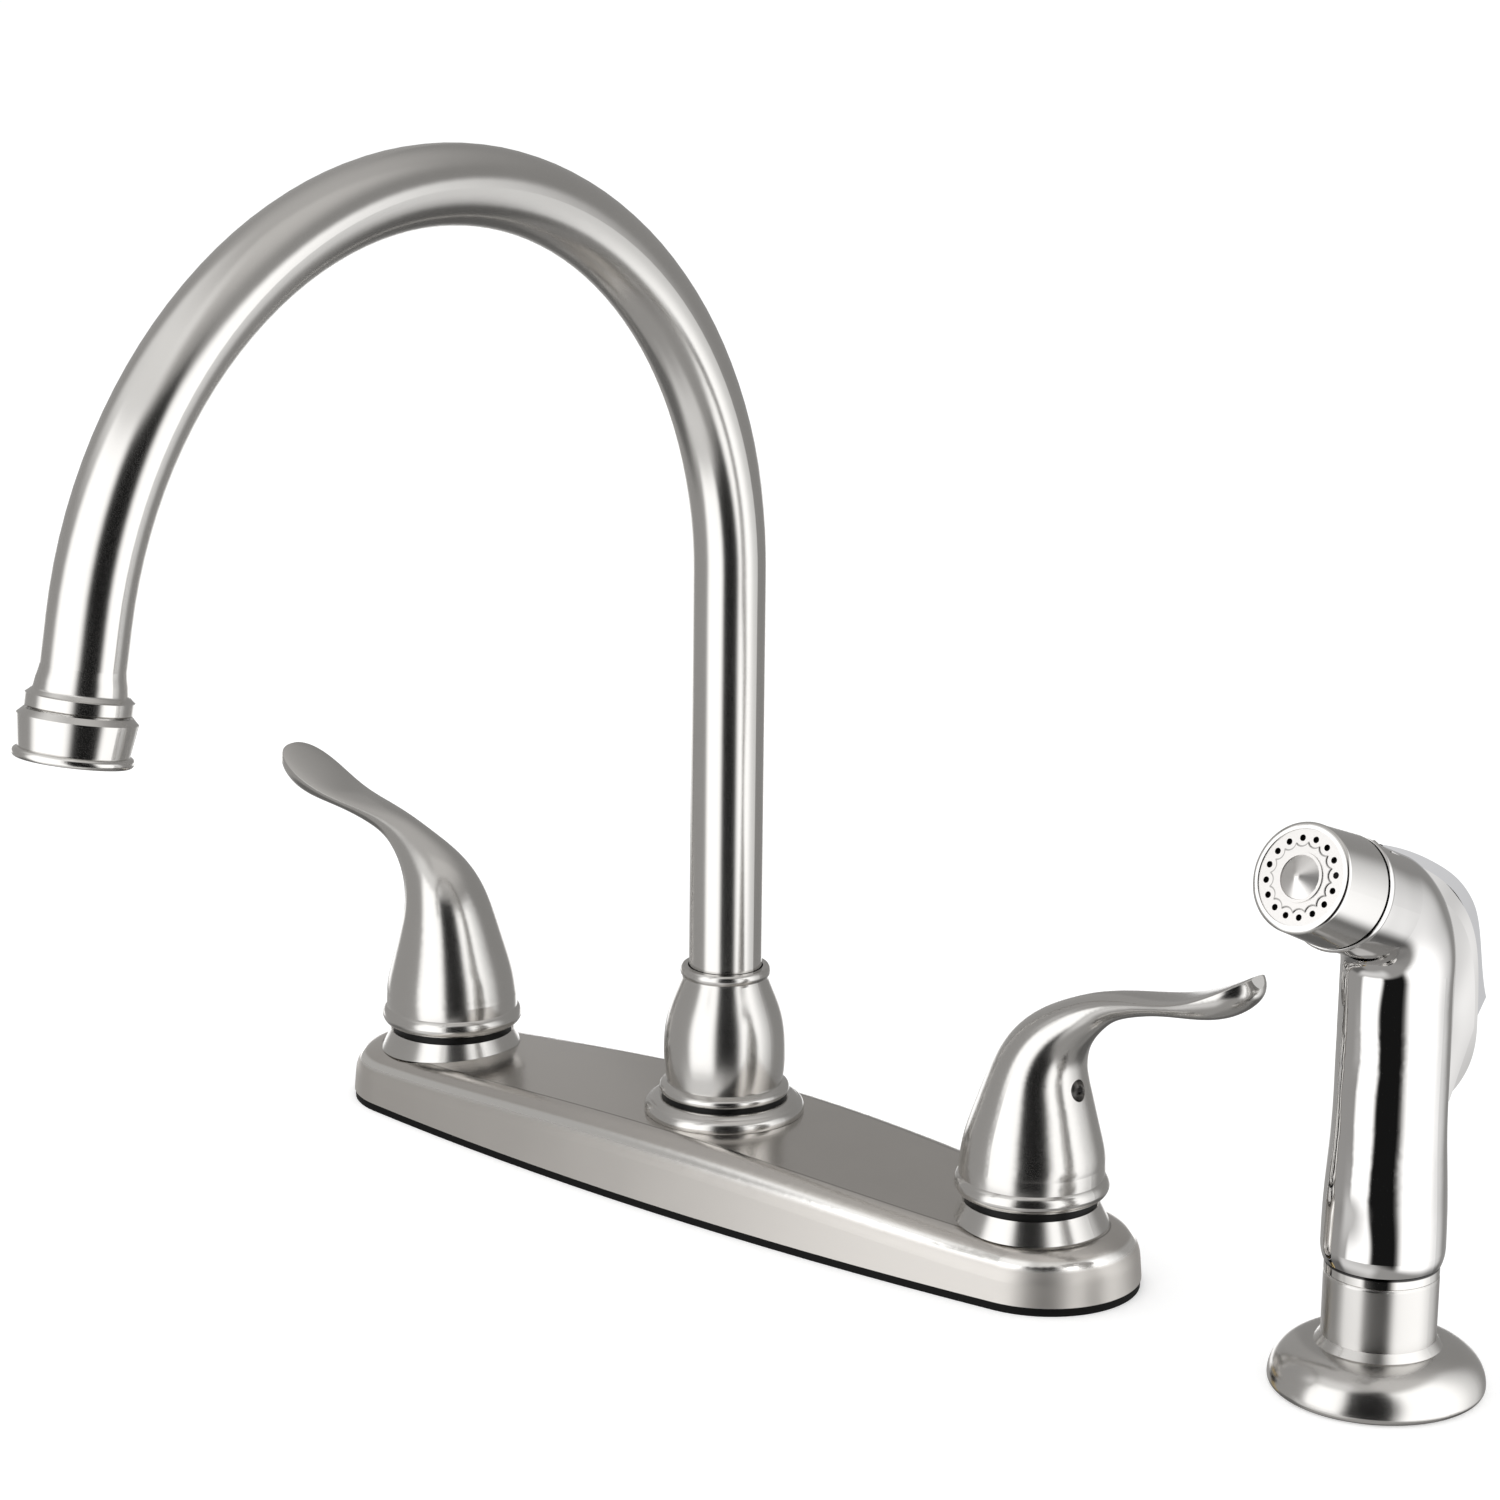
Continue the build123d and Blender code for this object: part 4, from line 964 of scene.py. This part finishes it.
    def windows(self) -> bpy.types.Material:
        """The near tent: two soft windows and the dark gap that the camera looks through.

        Returns:
            The material, clear between the windows and the gap.
        """
        material = bpy.data.materials.new("tent_cloth")
        graph, layout = self._layout(material, self.tent_radius)
        bearing = layout.bearing
        left = layout.patch(LEFT_WINDOW)
        right = layout.patch(RIGHT_WINDOW) * (1 - bearing.ramp(*WINDOW_END))
        dimmed = 1 - self.window_dimming * bearing.ramp(*WINDOW_DIMMING)
        veil = self.veil_level * layout.patch(UPPER_VEIL)
        bounce = self.bounce_level * layout.patch(LOWER_BOUNCE)
        gap = layout.patch(DARK_GAP)
        lit = left.maximum(right).maximum(veil).maximum(bounce)
        cover = lit.maximum(gap)
        shining = self.window_level * lit * dimmed * (1 - gap)
        level = (shining + self.gap_level * gap) / cover.maximum(self.least_cover)
        glow = graph.node("ShaderNodeEmission", None, {"Color": level})
        clear = graph.node("ShaderNodeBsdfTransparent")
        graph.finish(graph.node("ShaderNodeMixShader", None, {0: cover, 1: clear, 2: glow}))
        material.cycles.emission_sampling = "NONE"
        return material

    def _layout(self, material: bpy.types.Material, radius: float) -> tuple[Graph, Layout]:
        """Bearing and height, seen from the tent's middle.

        Args:
            material: The sphere's material.
            radius: The sphere's radius.

        Returns:
            The material's graph and the coordinates in degrees.
        """
        material.use_nodes = True
        graph = Graph(material.node_tree)
        lens_side = math.atan2(
            self.camera_place[1] - self.tent_middle[1], self.camera_place[0] - self.tent_middle[0]
        )
        middle = tuple(-value for value in self.tent_middle)
        ahead, aside, height = graph.split(graph.mapped(shift=middle, turn=-lens_side))
        bearing = graph.node("ShaderNodeMath", {"operation": "ARCTAN2"}, {0: aside, 1: ahead})
        rise = graph.node("ShaderNodeMath", {"operation": "ARCSINE"}, {0: height / radius})
        return graph, Layout(bearing * math.degrees(1.0), rise * math.degrees(1.0))

    def lamp(self) -> None:
        """One large soft lamp overhead that gives the contact shadow."""
        light = bpy.data.lights.new("overhead", "AREA")
        light.shape = "DISK"
        light.size = self.lamp_size
        light.energy = self.lamp_energy
        thing = bpy.data.objects.new("overhead", light)
        bpy.context.scene.collection.objects.link(thing)
        thing.location = self.lamp_place
        towards = -Vector(self.lamp_place)
        thing.rotation_euler = towards.to_track_quat("-Z", "Y").to_euler()
        thing.visible_glossy = False
        thing.visible_camera = False


# ---------------------------------------------------------------------------
# Modelling helpers
# ---------------------------------------------------------------------------


MERGE_DISTANCE = 0.002 * MM
SMOOTH_ANGLE = math.radians(30.0)
UPWARD = 0.9


def clean_up(piece: bpy.types.Object) -> None:
    """Merge doubles, close small holes and turn the normals outward.

    Args:
        piece: The piece, which is the active object.
    """
    bpy.ops.object.mode_set(mode="EDIT")
    bpy.ops.mesh.select_all(action="SELECT")
    bpy.ops.mesh.remove_doubles(threshold=MERGE_DISTANCE)
    bpy.ops.mesh.fill_holes(sides=4)
    bpy.ops.mesh.normals_make_consistent(inside=False)
    bpy.ops.object.mode_set(mode="OBJECT")
    bpy.ops.object.shade_smooth_by_angle(angle=SMOOTH_ANGLE)
    log.info("%s: %d faces", piece.name, len(piece.data.polygons))


@dataclass(frozen=True)
class Thread:
    """A helical thread round a vertical shank."""

    name: str
    place: tuple[float, float]
    radius: float
    low: float
    high: float
    pitch: float = 1.81 * MM
    crest: float = 0.35 * MM
    steps: int = 40

    def build(self) -> bpy.types.Object:
        """Sweep a diamond up the helix.

        Returns:
            The thread.
        """
        bpy.ops.object.select_all(action="DESELECT")
        bpy.ops.mesh.primitive_circle_add(
            vertices=4,
            radius=self.crest,
            location=(self.radius, 0.0, self.low + self.crest),
            rotation=(math.pi / 2, 0.0, 0.0),
        )
        piece = bpy.context.object
        piece.name = self.name
        bpy.ops.object.transform_apply(location=True, rotation=True, scale=True)
        bpy.ops.object.modifier_add(type="SCREW")
        sweep = piece.modifiers[-1]
        sweep.axis = "Z"
        sweep.angle = math.tau
        sweep.screw_offset = self.pitch
        sweep.iterations = int((self.high - self.low - 2 * self.crest) / self.pitch)
        sweep.steps = self.steps
        sweep.render_steps = self.steps
        bpy.ops.object.modifier_apply(modifier=sweep.name)
        bpy.ops.transform.translate(value=(self.place[0], self.place[1], 0.0))
        bpy.ops.object.transform_apply(location=True, rotation=True, scale=True)
        clean_up(piece)
        return piece


@dataclass(frozen=True)
class HoleLiners:
    """Black rubber liners in the nozzle face's holes."""

    sides: int = 20
    radius: float = 0.73 * MM
    foot: float = 41.45 * MM
    top: float = 42.85 * MM
    mouth_rim: float = 0.12 * MM
    mouth_depth: float = 0.8 * MM

    def build(self) -> bpy.types.Object:
        """Model the liners, join them and set them in the face.

        Returns:
            The joined liners.
        """
        liners = [self._liner(index) for index in range(HOLE_COUNT)]
        bpy.ops.object.select_all(action="DESELECT")
        for liner in liners:
            liner.select_set(True)
        bpy.context.view_layer.objects.active = liners[0]
        bpy.ops.object.join()
        piece = bpy.context.object
        piece.name = "spray_hole_liners"
        bpy.ops.object.transform_apply(location=True, rotation=True, scale=True)
        placed = Matrix.Translation((SPRAY_OFFSET, 0.0, 0.0)) @ Matrix.Rotation(SPRAY_TURN, 4, "Z")
        tilted = Matrix.Rotation(math.pi / 2 - NOZZLE_LEAN, 4, "X")
        piece.matrix_world = placed @ Matrix.Translation((0.0, 0.0, NOZZLE_CORNER)) @ tilted
        bpy.ops.object.transform_apply(location=True, rotation=True, scale=True)
        clean_up(piece)
        return piece

    def _liner(self, index: int) -> bpy.types.Object:
        """One liner: a short plug with a sunk mouth.

        Args:
            index: Its place in the ring.

        Returns:
            The liner in the nozzle's own frame.
        """
        angle = HOLE_TURN + math.tau * index / HOLE_COUNT
        spot = (
            HOLE_CIRCLE * math.cos(angle),
            HOLE_CIRCLE * math.sin(angle),
            (self.foot + self.top) / 2,
        )
        bpy.ops.object.select_all(action="DESELECT")
        bpy.ops.mesh.primitive_cylinder_add(
            vertices=self.sides, radius=self.radius, depth=self.top - self.foot, location=spot
        )
        liner = bpy.context.object
        bpy.ops.object.transform_apply(location=True, rotation=True, scale=True)
        for face in liner.data.polygons:
            face.select = face.normal.z > UPWARD
        bpy.ops.object.mode_set(mode="EDIT")
        bpy.ops.mesh.select_mode(type="FACE")
        bpy.ops.mesh.inset(thickness=self.mouth_rim)
        sink = {"value": (0.0, 0.0, -self.mouth_depth)}
        bpy.ops.mesh.extrude_region_move(TRANSFORM_OT_translate=sink)
        bpy.ops.object.mode_set(mode="OBJECT")
        return liner


# ---------------------------------------------------------------------------
# Sub-assemblies
# ---------------------------------------------------------------------------


@dataclass
class DeckUnit:
    """Plate, gasket, hub and what clamps them."""

    shop: Workshop
    nipple_radius: float = 6.6 * MM
    nipple_low: float = -33.0 * MM
    nipple_high: float = -16.0 * MM

    def build(self) -> None:
        """Dress the deck unit."""
        dress = self.shop.dress
        dress("deck_plate", SATIN_PLATE)
        dress("deck_gasket", RUBBER)
        dress("spout_hub", BRASS)
        dress("spout_flange", SATIN_TURNED)
        dress("spout_washer", BLACK_PLASTIC)
        dress("bell_nut", SATIN_TURNED)
        dress("lock_washers", STEEL)
        dress("lock_nuts", BLACK_PLASTIC)
        dress("diverter_seat", WHITE_PLASTIC)
        dress("diverter_piston", WHITE_PLASTIC)
        dress("diverter_spring", STEEL)
        nipple = Thread(
            "hose_nipple_thread",
            (0.0, 0.0),
            self.nipple_radius,
            self.nipple_low,
            self.nipple_high,
        )
        self.shop.add(nipple.build(), "faucet_base", "brass", BRASS)


@dataclass
class Handle:
    """One handle with its valve."""

    shop: Workshop
    label: str
    side: int
    shank_radius: float = 10.4 * MM
    shank_low: float = -46.8 * MM
    shank_high: float = -22.0 * MM

    def build(self) -> None:
        """Dress the handle."""
        dress = self.shop.dress
        across = self.side * HANDLE_OFFSET
        turned = turned_nickel(f"satin_nickel_{self.label}", across)
        dress(f"{self.label}_handle_flange", turned)
        dress(f"{self.label}_lever", SATIN_LEVER)
        dress(f"{self.label}_seal_ring", BLACK_PLASTIC)
        dress(f"{self.label}_set_screw", STEEL)
        for part in ("valve_body", "cartridge", "bonnet_nut", "valve_stem"):
            dress(f"{self.label}_{part}", BRASS)
        for part in ("fixed_disc", "rotor_disc"):
            dress(f"{self.label}_{part}", CERAMIC)
        dress(f"{self.label}_disc_seal", RUBBER)
        dress(f"{self.label}_crossover_tube", COPPER)
        shank = Thread(
            f"{self.label}_shank_thread",
            (across, 0.0),
            self.shank_radius,
            self.shank_low,
            self.shank_high,
        )
        self.shop.add(shank.build(), "faucet_base", "brass", BRASS)


@dataclass
class Spout:
    """Swivelling tube with its outlet."""

    shop: Workshop

    def build(self) -> None:
        """Dress the spout."""
        dress = self.shop.dress
        dress("spout_tube", SATIN_TUBE)
        dress("outlet_ring", SATIN_TUBE)
        dress("aerator_housing", SATIN_TUBE)
        dress("aerator_insert", WHITE_PLASTIC)
        dress("aerator_washer", RUBBER)
        dress("swivel_sleeve", BRASS)
        dress("swivel_o_rings", RUBBER)


@dataclass
class SideSpray:
    """Holder and hand-piece of the side spray."""

    shop: Workshop
    shank_radius: float = 12.8 * MM
    shank_low: float = -40.8 * MM
    shank_high: float = -22.0 * MM

    def build(self) -> None:
        """Dress the side spray."""
        dress = self.shop.dress
        turned = turned_nickel("satin_nickel_spray", SPRAY_OFFSET)
        dress("spray_flange", turned)
        dress("spray_holder", SATIN_HOLDER)
        dress("spray_liner", BLACK_PLASTIC)
        dress("spray_lock_nut", BLACK_PLASTIC)
        dress("spray_washer", STEEL)
        dress("spray_body", POLISHED)
        dress("nozzle_shell", SATIN_SHELL)
        dress("nozzle_gasket", RUBBER)
        dress("spray_face", FACE)
        dress("spray_cone", SATIN_CONE)
        dress("hose_plug", BLACK_PLASTIC)
        dress("trigger", TRIGGER_METAL)
        dress("trigger_pin", STEEL)
        dress("spray_valve", STEEL)
        dress("trigger_spring", STEEL)
        shank = Thread(
            "spray_shank_thread",
            (SPRAY_OFFSET, 0.0),
            self.shank_radius,
            self.shank_low,
            self.shank_high,
        )
        self.shop.add(shank.build(), "faucet_base", "satin_nickel", turned)
        self.shop.add(HoleLiners().build(), "spray_head", "black_rubber", RUBBER)


def main() -> None:
    """Build the whole scene."""
    logging.basicConfig(level=logging.INFO, format="%(message)s")
    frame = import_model()
    bpy.ops.object.select_all(action="DESELECT")
    bpy.context.scene.view_settings.view_transform = "Standard"
    shop = Workshop(frame)
    Studio().build()
    DeckUnit(shop).build()
    Handle(shop, "hot", -1).build()
    Handle(shop, "cold", 1).build()
    Spout(shop).build()
    SideSpray(shop).build()


if __name__ == "__main__":
    main()
